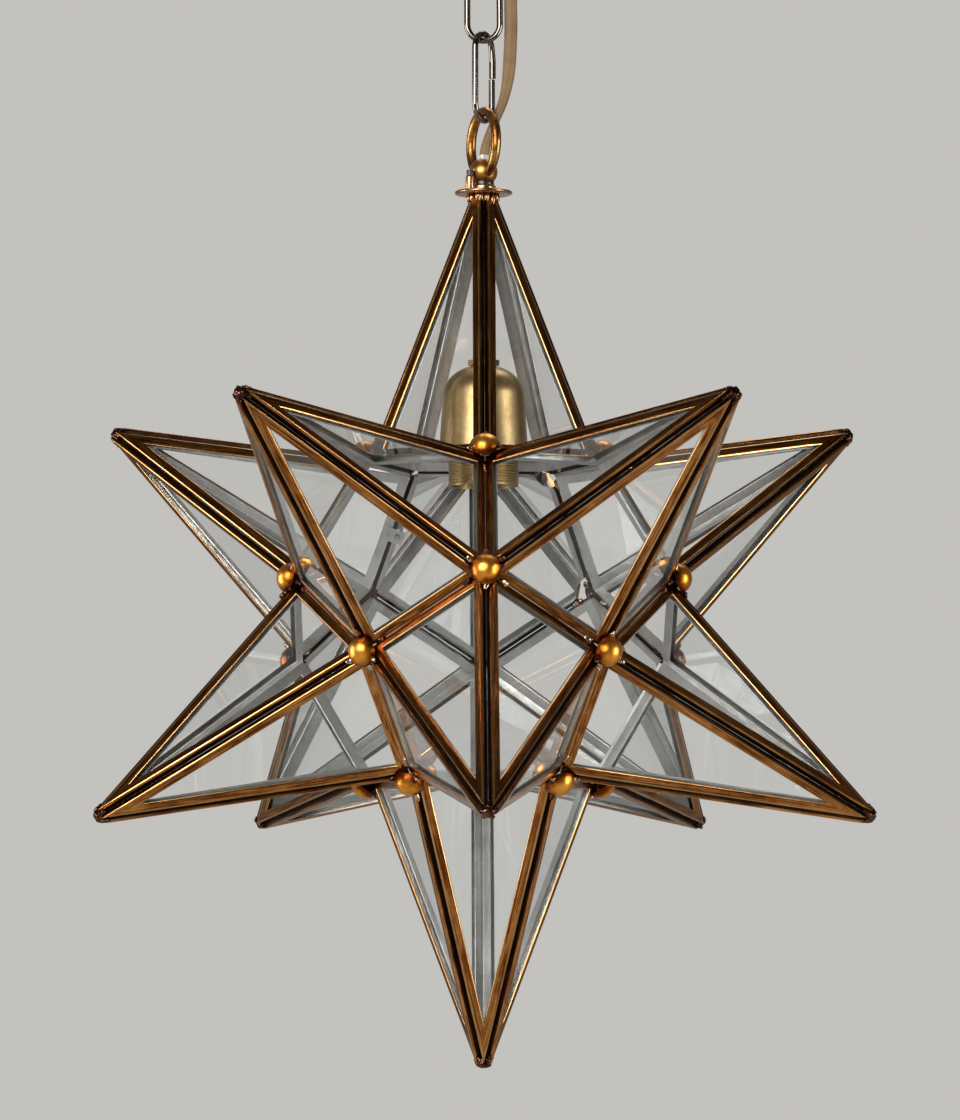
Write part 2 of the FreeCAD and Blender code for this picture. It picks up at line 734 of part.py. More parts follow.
door = "upper_rear"
hinge_corners = (star_corners["cap", 2], star_corners["belt", 2])
catch_corners = (star_corners["cap", 3], star_corners["belt", 3])
door_corners = (star_corners["under_belt", 2], star_corners["belt", 3], star_corners["cap", 3])
hinge_neighbour = "upper_right"
catch_neighbour = "upper_left"


def edge_frame(a, b):
    """Axes at the middle of a base edge: along the edge, outwards from the star, and sideways."""
    middle = (a + b) * 0.5
    out = V(middle).normalize()
    along = (b - a).normalize()
    return star_centre + middle, along, out, out.cross(along).normalize()


def valley_half_angle():
    """Half the angle between two panes across a base edge."""
    dihedral = math.acos(-1 / math.sqrt(5))
    return math.pi - dihedral / 2 - face_slope


def hinge():
    """Three knuckles on a pin in the valley, each on a leaf soldered to its own pane frame."""
    middle, along, out, side = edge_frame(*hinge_corners)
    half = valley_half_angle()
    rise = (hinge_radius + play) / math.sin(half)
    axis_at = middle + out * rise
    door_side = 1 if V(star_points[door][0]).dot(side) > 0 else -1
    centre_length = hinge_length * 0.36
    end_length = (hinge_length - centre_length) / 2 - knuckle_gap
    spans = [(-hinge_length / 2, end_length, -door_side),
             (-centre_length / 2, centre_length, door_side),
             (centre_length / 2 + knuckle_gap, end_length, -door_side)]
    knuckles = []
    for start, length, to in spans:
        at = axis_at + along * start
        barrel = Part.makeCylinder(hinge_radius, length, at, along)
        slope = out * math.cos(half) + side * (to * math.sin(half))
        face = out * math.sin(half) - side * (to * math.cos(half))
        leaf = Part.makeBox(length, hinge_leaf_width, hinge_leaf)
        foot = middle + along * start + slope * 0.9 + face * seat_gap
        if to * along.cross(slope).dot(face) * to > 0:
            leaf = carried(leaf, along, face, foot)
        else:
            leaf = carried(leaf, along * -1, face, foot + along * length)
        web = Part.makeBox(length, hinge_radius * 1.1, rise)
        web = carried(web, along if along.cross(slope).dot(face) > 0 else along * -1, face,
                      (middle + along * start if along.cross(slope).dot(face) > 0
                       else middle + along * (start + length))
                      + slope * (rise * math.cos(half) - 0.2) + face * seat_gap)
        web = web.common(Part.makeCylinder(rise + 3, length, at, along))
        knuckle = barrel.fuse(leaf).fuse(web)
        bore = Part.makeCylinder(hinge_pin_radius + seat_gap, length + 2, at - along, along)
        knuckles.append(knuckle.cut(bore).removeSplitter())
    pin = Part.makeCylinder(hinge_pin_radius, hinge_length + 2, axis_at - along * (hinge_length / 2 + 1),
                            along)
    print("rear point's hinge: at %s, axis %s, %s" % (axis_at, along, "right-hand opening"
          if door_side > 0 else "left-hand opening"))
    return knuckles, pin


def catch():
    """Stud on the rear point's frame that snaps through a keeper plate on its neighbour's."""
    middle, along, out, side = edge_frame(*catch_corners)
    half = valley_half_angle()
    to = 1 if V(star_points[door][0]).dot(side) > 0 else -1

    def placed(shape, sign):
        """A shape drawn in a pane's own frame: X along the edge, Y up the slope, Z out of the pane."""
        slope = out * math.cos(half) + side * (sign * math.sin(half))
        face = out * math.sin(half) - side * (sign * math.cos(half))
        x = slope.cross(face)
        return carried(shape, x, face, middle)

    deep = -came_depth - seat_gap
    half_width = catch_width / 2
    stud_plate = block(V(-half_width, -3.2, deep - catch_plate), V(half_width, came_flange - 0.4, deep))
    keeper = block(V(-half_width, -8.2, deep - catch_plate), V(half_width, came_flange - 0.4, deep))
    stud_plate, keeper = placed(stud_plate, to), placed(keeper, -to)
    door_axis = V(star_points[door][0]).normalize()
    slope = out * math.cos(half) + side * (to * math.sin(half))
    face = out * math.sin(half) - side * (to * math.cos(half))
    root = middle + slope * -2.0 + face * (deep - catch_plate / 2)
    stud = Part.makeCylinder(catch_stud_radius, catch_stud_length, root, door_axis * -1)
    hole = Part.makeCylinder(catch_stud_radius + 2 * play, catch_stud_length + 6, root + door_axis * 3,
                             door_axis * -1)
    return stud_plate.fuse(stud), keeper.cut(hole)


# ---------------------------------------------------------------- build

def build_star():
    """The twelve points: frames to one file each, glass to one file for each tier."""
    high, wide = collar_z + 2 * crown_drop, cage_edge / 2
    stem_room = disc(stem_radius + stem_clearance, star_z + face_radius, high)
    crown_cut = block(V(-wide, -wide, collar_z - seat_gap), V(wide, wide, high))
    glass_cut = block(V(-wide, -wide, collar_z - glass_crown_drop), V(wide, wide, high))
    hinge_rooms = []
    for place in hinge_corners:
        reach = button_lift + button_height + 0.7
        hinge_rooms.append(Part.makeSphere(reach, star_centre + place))
    for name in star_points:
        if name == "top":
            frames = [f.cut(crown_cut).cut(stem_room) for f in point_frames(name)]
            write("glass_top", [g.cut(glass_cut).cut(stem_room) for g in point_glass(name)])
        elif name == door:
            frames = point_frames(name, door_gap)
            glass = point_glass(name, door_gap)
            for room in hinge_rooms:
                frames = [f.cut(room) for f in frames]
                glass = [g.cut(room) for g in glass]
            write("glass_rear_door", glass)
        else:
            frames = point_frames(name)
        write("frame_" + name, [max(f.Solids, key=lambda s: s.Volume) for f in frames])
    write("glass_bottom", point_glass("bottom"))
    for tier in ("upper", "lower"):
        names = [n for n in star_points if n.startswith(tier) and n != door]
        write("glass_" + tier, [g for n in names for g in point_glass(n)])
    capped = [n for n in star_points if n not in ("top", door)]
    write("solder_tips", [solder_tip(n) for n in capped])
    write("solder_tip_door", solder_tip(door))
    fixed = [p for p in star_corners.values() if p not in door_corners]
    write("buttons", [button(p) for p in fixed])
    write("buttons_door", [button(p, [n for n in near_points(p) if n != door], play)
                           for p in door_corners])


def build_fittings():
    write("canopy", canopy())
    write("ceiling_bracket", bracket())
    write("bracket_nut", hexagon(hub_nut_radius, -bracket_thickness - hub_nut_height,
                                 -bracket_thickness, hook_wire + seat_gap))
    write("ceiling_hook", ceiling_hook())
    nut = disc(canopy_nut_radius, -canopy_height - canopy_nut_height, -canopy_height,
               bore=hook_wire + seat_gap)
    rim = [e for e in nut.Edges if e.BoundBox.XMax > canopy_nut_radius - 0.1
           and e.BoundBox.ZMax < -canopy_height - canopy_nut_height + 0.01]
    write("canopy_nut", nut.makeChamfer(1.0, rim))
    write("cord_grip", cord_grip())
    grip_at = flex_point(len(flex_route) - 1)
    inner_face = -canopy_height + canopy_wall
    write("cord_grip_nut", hexagon(grip_flange_radius + 1.2, inner_face, inner_face + grip_nut_height,
                                   grip_body_radius + seat_gap, grip_at))
    terminals, terminal_screws = terminal_block()
    write("terminal_block", terminals)
    write("terminal_screws", terminal_screws)
    write("link_upper", chain_link(upper_link_foot, 0))
    write("link_lower", chain_link(lower_link_foot, lower_link_turn))
    write("suspension_ring", suspension_ring())
    for name, tube in zip(("flex_ring", "flex_lower", "flex_upper", "flex_ceiling"), flex_stretches()):
        write(name, tube)
    write("ball_finial", ball())
    write("flex_bush", disc(flex_radius + play + bush_wall, ball_z + ball_top,
                            ball_z + ball_top + bush_height, bore=flex_radius + play))
    write("lock_nut", disc(lock_nut_radius, lock_nut_z, lock_nut_z + lock_nut_height,
                           bore=stem_radius + seat_gap))
    write("collar_nut", disc(collar_nut_radius, collar_nut_z, lock_nut_z, bore=stem_radius + seat_gap))
    write("collar", collar())
    post, head = post_with_screw()
    write("post", post)
    write("post_screw", head)
    write("stem", disc(stem_radius, stem_foot, stem_top, bore=stem_radius - stem_wall))
    write("flex_stem", disc(flex_radius, insert_top, flex_point(0).z))


def build_lampholder():
    write("bell_nut", hexagon(bell_nut_radius, bell_top, bell_top + bell_nut_height,
                              stem_radius + seat_gap))
    write("bell", bell())
    write("shade_ring", shade_ring())
    write("lamp_cap", lamp_cap())
    write("threaded_sleeve", threaded_sleeve())
    insert, shell, tongue, screws = socket()
    write("socket_insert", insert)
    write("screw_shell", shell)
    write("centre_contact", tongue)
    write("socket_screws", screws)


def build_hinge():
    knuckles, pin = hinge()
    write("hinge_knuckles", [knuckles[0], knuckles[2]])
    write("hinge_knuckle_door", knuckles[1])
    write("hinge_pin", pin)
    stud, keeper = catch()
    write("catch_stud", stud)
    write("catch_keeper", keeper)


os.makedirs("parts", exist_ok=True)
build_fittings()
build_lampholder()
build_star()
build_hinge()
print("ball at %.2f, star centre at %.2f, inner apex at %.2f" % (ball_z, star_z, inner_reach))
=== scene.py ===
# %% [markdown]
# # Star lantern: the dressed model
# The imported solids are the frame. The camera comes first, then the finishes and the flex, the light and
# the pieces. Lengths are millimetres where no comment says otherwise; what Blender gets is metres.

# %%
import bpy
import bmesh
import math
from mathutils import Matrix, Vector, noise


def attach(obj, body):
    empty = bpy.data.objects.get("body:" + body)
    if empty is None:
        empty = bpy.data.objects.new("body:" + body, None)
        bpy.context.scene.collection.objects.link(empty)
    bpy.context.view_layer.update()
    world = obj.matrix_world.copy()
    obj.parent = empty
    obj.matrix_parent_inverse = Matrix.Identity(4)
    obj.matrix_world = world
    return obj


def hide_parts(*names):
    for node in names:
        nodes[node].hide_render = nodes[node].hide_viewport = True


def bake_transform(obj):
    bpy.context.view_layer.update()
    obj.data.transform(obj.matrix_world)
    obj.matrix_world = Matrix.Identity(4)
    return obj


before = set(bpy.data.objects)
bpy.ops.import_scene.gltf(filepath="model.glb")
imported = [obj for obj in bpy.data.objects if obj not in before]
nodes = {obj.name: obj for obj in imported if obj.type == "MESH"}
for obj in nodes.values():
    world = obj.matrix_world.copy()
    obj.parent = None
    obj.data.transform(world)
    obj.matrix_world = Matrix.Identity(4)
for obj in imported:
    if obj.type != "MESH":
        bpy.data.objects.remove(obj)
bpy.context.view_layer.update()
scene = bpy.context.scene

MM = 0.001
# the ball's and the star's middles, below the ceiling
BALL_Z = -167.339
STAR_Z = -416.039
STAR = Vector((0, 0, STAR_Z))


# %% [markdown]
# ## Camera
# The photograph is taken from 2.77 m, a little below the star's middle, with a long lens tilted up.

# %%
LENS = 162.1
CAMERA_AWAY = 2.773  # metres
CAMERA_BELOW = 149  # millimetres under the star's middle
CAMERA_BEARING, CAMERA_TILT, CAMERA_PAN = -0.637, 3.763, 0.041  # degrees


def aim_camera():
    data = bpy.data.cameras.new("photo_camera")
    data.lens = LENS
    data.clip_end = 60
    camera = bpy.data.objects.new("photo_camera", data)
    scene.collection.objects.link(camera)
    turn = math.radians(CAMERA_BEARING)
    camera.location = (CAMERA_AWAY * math.sin(turn), -CAMERA_AWAY * math.cos(turn),
                       (STAR_Z - CAMERA_BELOW) * MM)
    camera.rotation_euler = (math.radians(90 + CAMERA_TILT), 0, turn + math.radians(CAMERA_PAN))
    scene.camera = camera


aim_camera()

# %% [markdown]
# ## Flex
# One smooth line through listed points, read back as points and divided where the chain's joints
# are. Heights are above the ball's middle.

# %%
# height, half of the flat flex's width and half of its thickness
FLEX_SIZES = [(8, 2.8, 2.8), (20, 3.0, 2.45), (34, 3.0, 2.45), (58, 3.6, 2.45), (102, 3.6, 2.45),
              (117, 3.0, 2.45), (148, 3.0, 2.45), (156, 2.8, 2.8)]
# the heights between which the flat flex makes a quarter turn
FLEX_TURN = (26, 62)
FLEX_ROUTE = [
    (0, 0, -2.7), (0, 0, 9.6), (2.3, -0.4, 18.6), (6.3, -0.9, 28.4), (10.7, -0.6, 38.3),
    (13.2, -0.2, 49.0), (14.4, 0.1, 59.9), (14.9, 0.3, 71.1), (15.3, 0.3, 82.1),
    (15.0, 0.2, 93.1), (15.2, 0, 104.1), (16.3, -0.1, 114.9), (17.6, 0, 125.7),
    (18.0, 0, 136.5), (17.9, 0, 147.3), (18.0, 0, 157.3),
]
FLEX_CUTS = [33.35, 76.6, 120.3]


def read_route(points):
    """Points along the NURBS line that has these control points, in millimetres."""
    curve = bpy.data.curves.new("route", "CURVE")
    curve.dimensions = "3D"
    spline = curve.splines.new("NURBS")
    spline.points.add(len(points) - 1)
    for p, q in zip(spline.points, points):
        p.co = (*q, 1)
    spline.order_u = 3
    spline.use_endpoint_u = True
    spline.resolution_u = 8
    holder = bpy.data.objects.new("route", curve)
    scene.collection.objects.link(holder)
    mesh = bpy.data.meshes.new_from_object(holder)
    line = [v.co.copy() for v in mesh.vertices]
    bpy.data.objects.remove(holder)
    bpy.data.meshes.remove(mesh)
    return line


def frames_along(line):
    """Tangent and two normals at each point, turned as little as possible from one to the next."""
    tangents = []
    for i in range(len(line)):
        tangents.append((line[min(i + 1, len(line) - 1)] - line[max(i - 1, 0)]).normalized())
    side = tangents[0].orthogonal().normalized()
    frames = []
    for t in tangents:
        side = (side - t * side.dot(t)).normalized()
        frames.append((t, side, t.cross(side)))
    return frames


def half_sizes(height):
    """Half width and half thickness at a height, read between the rows of FLEX_SIZES."""
    low = max([row for row in FLEX_SIZES if row[0] <= height], default=FLEX_SIZES[0])
    high = min([row for row in FLEX_SIZES if row[0] > height], default=FLEX_SIZES[-1])
    t = min(1.0, max(0.0, (height - low[0]) / max(high[0] - low[0], 1)))
    return [a + (b - a) * t for a, b in zip(low[1:], high[1:])]


def flat_sections(line):
    """Frames and half sizes of the flat flex, which turns a quarter turn between the ring and the links."""
    low, high = FLEX_TURN
    frames = []
    for p, (t, *_) in zip(line, frames_along(line)):
        across = (Vector((1, 0, 0)) - t * t.x).normalized()
        turn = math.radians(90) * (1 - min(1.0, max(0.0, (p.z - low) / (high - low))))
        side = across * math.cos(turn) + t.cross(across) * math.sin(turn)
        frames.append((t, side, t.cross(side)))
    return frames, [half_sizes(p.z) for p in line]


def tube(line, radii, around, frames, caps=False):
    """A wire along a line, as a bmesh in the line's units. A radius may be a pair, for a flat one."""
    bm = bmesh.new()
    rings = []
    for p, (t, a, b), r in zip(line, frames, radii):
        wide, thin = r if isinstance(r, list) else (r, r)
        ring = []
        for k in range(around):
            w = math.tau * k / around
            ring.append(bm.verts.new(p + a * math.cos(w) * wide + b * math.sin(w) * thin))
        rings.append(ring)
    for one, two in zip(rings, rings[1:]):
        for k in range(around):
            bm.faces.new((one[k], one[(k + 1) % around], two[(k + 1) % around], two[k]))
    if caps:
        bm.faces.new(list(reversed(rings[0])))
        bm.faces.new(rings[-1])
    return bm


def add_piece(name, bm, materials, body, replaces=(), angle=35, smooth=True):
    """Puts a bmesh drawn in millimetres into the scene as a finished piece."""
    mesh = bpy.data.meshes.new(name)
    bm.transform(Matrix.Scale(MM, 4))
    bmesh.ops.recalc_face_normals(bm, faces=bm.faces)
    bm.to_mesh(mesh)
    bm.free()
    for material in materials:
        mesh.materials.append(material)
    mesh.polygons.foreach_set("use_smooth", [smooth] * len(mesh.polygons))
    if smooth:
        mesh.set_sharp_from_angle(angle=math.radians(angle))
    obj = bpy.data.objects.new(name, mesh)
    scene.collection.objects.link(obj)
    if replaces:
        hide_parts(*replaces)
    if body:
        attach(obj, body)
    return obj


def lay_flex(material):
    line = read_route(FLEX_ROUTE)
    frames, sizes = flat_sections(line)
    cuts = [0]
    for height in FLEX_CUTS:
        cuts.append(min(range(len(line)), key=lambda i: abs(line[i].z - height)))
    cuts.append(len(line) - 1)
    lift = Vector((0, 0, BALL_Z))
    # node, the bodies above and below it, and where between them it bends
    stretches = [
        ("flex_ring", "ring", "star", (5, -0.6, 13.3), (0, 0, 3.3)),
        ("flex_lower", "lower_link", "ring", (13, 0, 51), (9, -0.7, 33.4)),
        ("flex_upper", "upper_link", "lower_link", (15, 0.2, 92), (14.9, 0.3, 66)),
        ("flex_ceiling", "ceiling", "upper_link", (18, 0, 137), (16.9, 0, 121)),
    ]
    for (name, upper, lower, start, end), a, b in zip(stretches, cuts, cuts[1:]):
        part = [p + lift for p in line[a:b + 1]]
        bm = tube(part, sizes[a:b + 1], 28, frames[a:b + 1])
        piece = add_piece(name + "_sheath", bm, [material], None, (name,), 60)
        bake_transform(piece)


# %% [markdown]
# ## Star geometry
# Twelve five-sided points on the faces of a regular twelve-sided cage. `APEX` is where a point's faces
# would meet; the channels stop short of it under the solder.

# %%
EDGE, APEX = 78.9, 257.2
# a channel's depth through the pane, its flanges' width and its sheet's thickness
DEPTH, FLANGE, STRIP = 4.3, 5.2, 0.6
SEAT_GAP = 0.05
GOLDEN = (1 + math.sqrt(5)) / 2
CORNER_R = EDGE * math.sqrt(3) * GOLDEN / 2
FACE_R = EDGE * GOLDEN ** 2 / (2 * math.sqrt(3 - GOLDEN))
# heights of the two upper rings of cage corners, as shares of CORNER_R
CAP_SHARE, BELT_SHARE = 0.794654, 0.187592
BASE_R = EDGE / (2 * math.sin(math.pi / 5))
APOTHEM = EDGE / (2 * math.tan(math.pi / 5))
RISE = APEX - FACE_R
SLANT = math.hypot(RISE, APOTHEM)
SLOPE = math.atan2(RISE, APOTHEM)
TIP_HALF = math.atan2(EDGE / 2, SLANT)
RIDGE_INSET = (DEPTH + SEAT_GAP) * math.tan(math.asin(math.sin(math.pi / 5) * math.sin(SLOPE)))
# heights over a point's base: where the channels' inner faces meet, and the channels' and panes' ends
INNER_PEAK = APEX - DEPTH / math.cos(SLOPE) - FACE_R
CHANNEL_END = INNER_PEAK + 1.0
PANE_END = INNER_PEAK - 3.6
# heights over the star's middle where the top point's panes and channels end at the collar
TOP_PANE_END, TOP_CHANNEL_END = 224, 235.95
# heights over a cage corner: a dome's underside, and where the painted shade on its rim is darkest and has
# gone
DOME_SEAT, RIM_SHADE_LOW, RIM_SHADE_HIGH = 3.0, 3.6, 8.8

# %% [markdown]
# ## Finishes
# Each finish is one material. The masks and heights that several share are node groups.

# %%
def group(name, inputs, outputs):
    tree = bpy.data.node_groups.new(name, "ShaderNodeTree")
    for label, kind, value in inputs:
        item = tree.interface.new_socket(label, in_out="INPUT", socket_type="NodeSocket" + kind)
        item.default_value = value
    for label, kind in outputs:
        tree.interface.new_socket(label, in_out="OUTPUT", socket_type="NodeSocket" + kind)
    return tree, tree.nodes.new("NodeGroupInput"), tree.nodes.new("NodeGroupOutput")


def node(tree, kind, inputs=None, **settings):
    """A node with its settings and its inputs: a value, or a socket to link from."""
    made = tree.nodes.new("ShaderNode" + kind)
    for key, value in settings.items():
        setattr(made, key, value)
    for key, value in (inputs or {}).items():
        if isinstance(value, bpy.types.NodeSocket):
            tree.links.new(value, made.inputs[key])
        else:
            made.inputs[key].default_value = value
    return made


def ramp(tree, fac, stops):
    made = tree.nodes.new("ShaderNodeValToRGB")
    elements = made.color_ramp.elements
    while len(elements) < len(stops):
        elements.new(0.5)
    for element, (place, colour) in zip(elements, stops):
        element.position = place
        element.color = (*colour, 1)
    tree.links.new(fac, made.inputs["Fac"])
    return made.outputs["Color"]


def new_material(name):
    material = bpy.data.materials.new(name)
    material.use_nodes = True
    return material, material.node_tree, material.node_tree.nodes["Principled BSDF"]


def make_patina_group():
    """Blotch and fine streak masks for aged metal."""
    tree, inp, out = group("patina", [("Size", "Float", 60.0)], [("Blotch", "Float"), ("Streak", "Float")])
    place = node(tree, "TexCoord").outputs["Object"]
    big = node(tree, "TexNoise", {"Vector": place, "Scale": inp.outputs["Size"], "Detail": 5.0,
                                  "Roughness": 0.62})
    fine_scale = node(tree, "Math", {0: inp.outputs["Size"], 1: 7.0}, operation="MULTIPLY")
    fine = node(tree, "TexNoise", {"Vector": place, "Scale": fine_scale.outputs[0], "Detail": 4.0,
                                   "Roughness": 0.7, "Distortion": 0.4})
    tree.links.new(big.outputs["Fac"], out.inputs["Blotch"])
    tree.links.new(fine.outputs["Fac"], out.inputs["Streak"])
    return tree


def make_scratch_group():
    """Hairline scratches in three directions, as a height."""
    tree, _, out = group("hairlines", [], [("Height", "Float")])
    place = node(tree, "TexCoord").outputs["Object"]
    total = None
    for stretch in ((1, 1, 14), (14, 1.2, 1), (1.1, 13, 2)):
        mapping = node(tree, "Mapping", {"Vector": place, "Scale": stretch})
        lines = node(tree, "TexNoise", {"Vector": mapping.outputs[0], "Scale": 90.0, "Detail": 2.0,
                                        "Roughness": 0.5})
        value = lines.outputs["Fac"]
        if total:
            value = node(tree, "Math", {0: total, 1: value}, operation="ADD").outputs[0]
        total = value
    tree.links.new(total, out.inputs["Height"])
    return tree


def make_lump_group():
    """Coarse lumps of run solder, as a height."""
    tree, inp, out = group("lumps", [("Size", "Float", 300.0)], [("Height", "Float")])
    place = node(tree, "TexCoord").outputs["Object"]
    rocks = node(tree, "TexNoise", {"Vector": place, "Scale": inp.outputs["Size"], "Detail": 3.0})
    tree.links.new(rocks.outputs["Fac"], out.inputs["Height"])
    return tree


PATINA = make_patina_group()
HAIRLINES = make_scratch_group()
LUMPS = make_lump_group()


def use_group(tree, made, **values):
    holder = tree.nodes.new("ShaderNodeGroup")
    holder.node_tree = made
    for key, value in values.items():
        holder.inputs[key].default_value = value
    return holder


def uneven_gloss(tree, shader, streak, low, high):
    """Roughness that goes from low to high with the streak mask."""
    gloss = node(tree, "MapRange", {"Value": streak, "From Min": 0.3, "From Max": 0.7,
                                    "To Min": low, "To Max": high})
    tree.links.new(gloss.outputs["Result"], shader.inputs["Roughness"])


def metal(name, dark, middle, light, rough, size=60.0, blotch=(0.34, 0.52, 0.72), scratch=0.05,
          bump=0.0, lumps=0.0, lump_size=300.0, turning=0.0, drawn=0.0, rim=0.0):
    """Aged metal: three tones through blotches and streaks, uneven gloss and hairline scratches.

    Bump, lumps and turning are strengths of relief: of the blotches, of run solder and of spun
    grooves. Drawn is the share of lines along a channel in its tone, and rim is the strength of painted
    shade that darkens a dome's edge in place of the dark surroundings it would reflect.
    """
    material, tree, shader = new_material(name)
    shader.inputs["Metallic"].default_value = 1.0
    patina = use_group(tree, PATINA, Size=size)
    mixed = node(tree, "Mix", {"Factor": 0.3, "A": patina.outputs["Blotch"], "B": patina.outputs["Streak"]})
    tone = mixed.outputs["Result"]
    if drawn:
        along = node(tree, "UVMap", uv_map="along").outputs["UV"]
        squeezed = node(tree, "Mapping", {"Vector": along, "Scale": (1.1, 2.6, 1.0)})
        lines = node(tree, "TexNoise", {"Vector": squeezed.outputs[0], "Scale": 1.0, "Detail": 3.0,
                                        "Roughness": 0.65})
        tone = node(tree, "Mix", {"Factor": drawn, "A": tone, "B": lines.outputs["Fac"]}).outputs["Result"]
    # painted shade: tone lowered towards a dome's rim, by distance from the star's middle
    if rim:
        place = node(tree, "TexCoord").outputs["Object"]
        from_star = node(tree, "VectorMath", {0: place, 1: STAR * MM}, operation="DISTANCE")
        shade = node(tree, "MapRange", {
            "Value": from_star.outputs["Value"], "From Min": (CORNER_R + RIM_SHADE_LOW) * MM,
            "From Max": (CORNER_R + RIM_SHADE_HIGH) * MM, "To Min": -rim, "To Max": 0.0})
        tone = node(tree, "Math", {0: tone, 1: shade.outputs["Result"]}, operation="ADD").outputs[0]
    colour = ramp(tree, tone, list(zip(blotch, (dark, middle, light))))
    tree.links.new(colour, shader.inputs["Base Color"])
    uneven_gloss(tree, shader, patina.outputs["Streak"], rough[1], rough[0])
    # strength, depth in metres and height of each layer of relief
    relief = [(scratch, 0.0002, use_group(tree, HAIRLINES).outputs["Height"])]
    if bump:
        relief.append((bump, 0.0004, patina.outputs["Blotch"]))
    if lumps:
        relief.append((lumps, 0.0006, use_group(tree, LUMPS, Size=lump_size).outputs["Height"]))
    if turning:
        place = node(tree, "TexCoord").outputs["Object"]
        squeezed = node(tree, "Mapping", {"Vector": place, "Scale": (30, 30, 4200)})
        rings = node(tree, "TexNoise", {"Vector": squeezed.outputs[0], "Scale": 1.0, "Detail": 2.0})
        relief.append((turning, 0.0002, rings.outputs["Fac"]))
    below = {}
    for strength, depth, height in relief:
        layer = node(tree, "Bump", {"Strength": strength, "Distance": depth, "Height": height, **below})
        below = {"Normal": layer.outputs["Normal"]}
    tree.links.new(layer.outputs["Normal"], shader.inputs["Normal"])
    return material


def clear_glass():
    """A sheet that lets light through and reflects more towards grazing angles."""
    material, tree, shader = new_material("clear_glass")
    shader.inputs["Base Color"].default_value = (0.90, 0.95, 0.92, 1)
    shader.inputs["Metallic"].default_value = 1.0
    shader.inputs["Roughness"].default_value = 0.02
    slant = node(tree, "LayerWeight", {"Blend": 0.5}).outputs["Facing"]
    steep = node(tree, "Math", {0: slant, 1: 4.0}, operation="POWER")
    strength = node(tree, "MapRange", {"Value": steep.outputs[0], "To Min": 0.065, "To Max": 1.0})
    tree.links.new(strength.outputs["Result"], shader.inputs["Alpha"])
    return material


def plastic(name, colour, second, rough, transmission=0.0, specular=0.5):
    """Two close tones in blotches and an uneven gloss."""
    material, tree, shader = new_material(name)
    patina = use_group(tree, PATINA, Size=80.0)
    tint = ramp(tree, patina.outputs["Blotch"], [(0.3, second), (0.7, colour)])
    tree.links.new(tint, shader.inputs["Base Color"])
    uneven_gloss(tree, shader, patina.outputs["Streak"], rough * 0.85, rough * 1.2)
    shader.inputs["Transmission Weight"].default_value = transmission
    shader.inputs["Specular IOR Level"].default_value = specular
    return material


CAME = metal("came_brass", (0.045, 0.012, 0.003), (0.26, 0.086, 0.020), (0.58, 0.255, 0.070),
             rough=(0.13, 0.27), size=22.0, blotch=(0.40, 0.49, 0.58), scratch=0.015, drawn=0.6)
# lighter brass on the channels' rounded edges: partly wear, partly painted highlight
CAME_EDGE_WEAR_AND_HIGHLIGHT = metal("came_edge_wear_and_highlight", (0.26, 0.115, 0.035), (0.50, 0.27, 0.10), (0.74, 0.52, 0.26),
                  rough=(0.16, 0.26), size=16.0, scratch=0.01)
PEWTER = metal("came_inside", (0.36, 0.355, 0.34), (0.56, 0.555, 0.54), (0.74, 0.735, 0.715),
               rough=(0.32, 0.5), size=30.0, scratch=0.005)
# near black where neighbouring channels meet: partly dark solder in the joint, partly painted shade in the
# gap
GROOVE_SOLDER_AND_SHADE = metal("came_groove_solder_and_shade", (0.012, 0.006, 0.004), (0.03, 0.015, 0.008), (0.08, 0.04, 0.018),
               rough=(0.35, 0.55))
# its rim setting paints shade on the domes' edges, where they would reflect dark surroundings
BUTTON = metal("button_brass", (0.13, 0.026, 0.003), (0.76, 0.28, 0.034), (0.92, 0.47, 0.095),
               rough=(0.27, 0.4), size=70.0, blotch=(0.16, 0.44, 0.66), scratch=0.03, rim=0.46)
SOLDER = metal("dark_solder", (0.02, 0.009, 0.006), (0.08, 0.034, 0.018), (0.30, 0.16, 0.09),
               rough=(0.12, 0.28), size=240.0, lumps=0.35, lump_size=260.0)
TIN = metal("bright_solder", (0.24, 0.15, 0.09), (0.48, 0.35, 0.23), (0.72, 0.60, 0.45),
            rough=(0.14, 0.28), size=200.0, lumps=0.3)
RING = metal("ring_brass", (0.06, 0.02, 0.005), (0.30, 0.13, 0.03), (0.54, 0.29, 0.09),
             rough=(0.24, 0.4), size=110.0, blotch=(0.36, 0.5, 0.66), scratch=0.02, bump=0.08)
TURNED = metal("turned_brass", (0.20, 0.08, 0.018), (0.46, 0.22, 0.055), (0.66, 0.39, 0.13),
               rough=(0.28, 0.42), size=120.0, scratch=0.02, bump=0.06)
COLLAR = metal("collar_brass", (0.17, 0.08, 0.04), (0.42, 0.235, 0.12), (0.66, 0.44, 0.27),
               rough=(0.2, 0.36), size=110.0, scratch=0.02, bump=0.06)
NICKEL = metal("chain_nickel", (0.11, 0.09, 0.07), (0.19, 0.165, 0.135), (0.32, 0.285, 0.24),
               rough=(0.12, 0.18), size=30.0, scratch=0.0)
BELL = metal("bell_brass", (0.25, 0.165, 0.07), (0.38, 0.265, 0.118), (0.50, 0.38, 0.19),
             rough=(0.34, 0.46), size=55.0, blotch=(0.3, 0.5, 0.72), scratch=0.03, turning=0.12)
STEEL = metal("dark_steel", (0.03, 0.026, 0.024), (0.07, 0.06, 0.055), (0.18, 0.165, 0.15),
              rough=(0.28, 0.5), size=150.0, scratch=0.02)
GLASS = clear_glass()
SHEATH = plastic("flex_sheath", (0.21, 0.128, 0.060), (0.15, 0.088, 0.040), rough=0.5, specular=0.22)
CLEAR = plastic("clear_bush", (0.72, 0.68, 0.60), (0.62, 0.58, 0.50), rough=0.2, transmission=0.5)
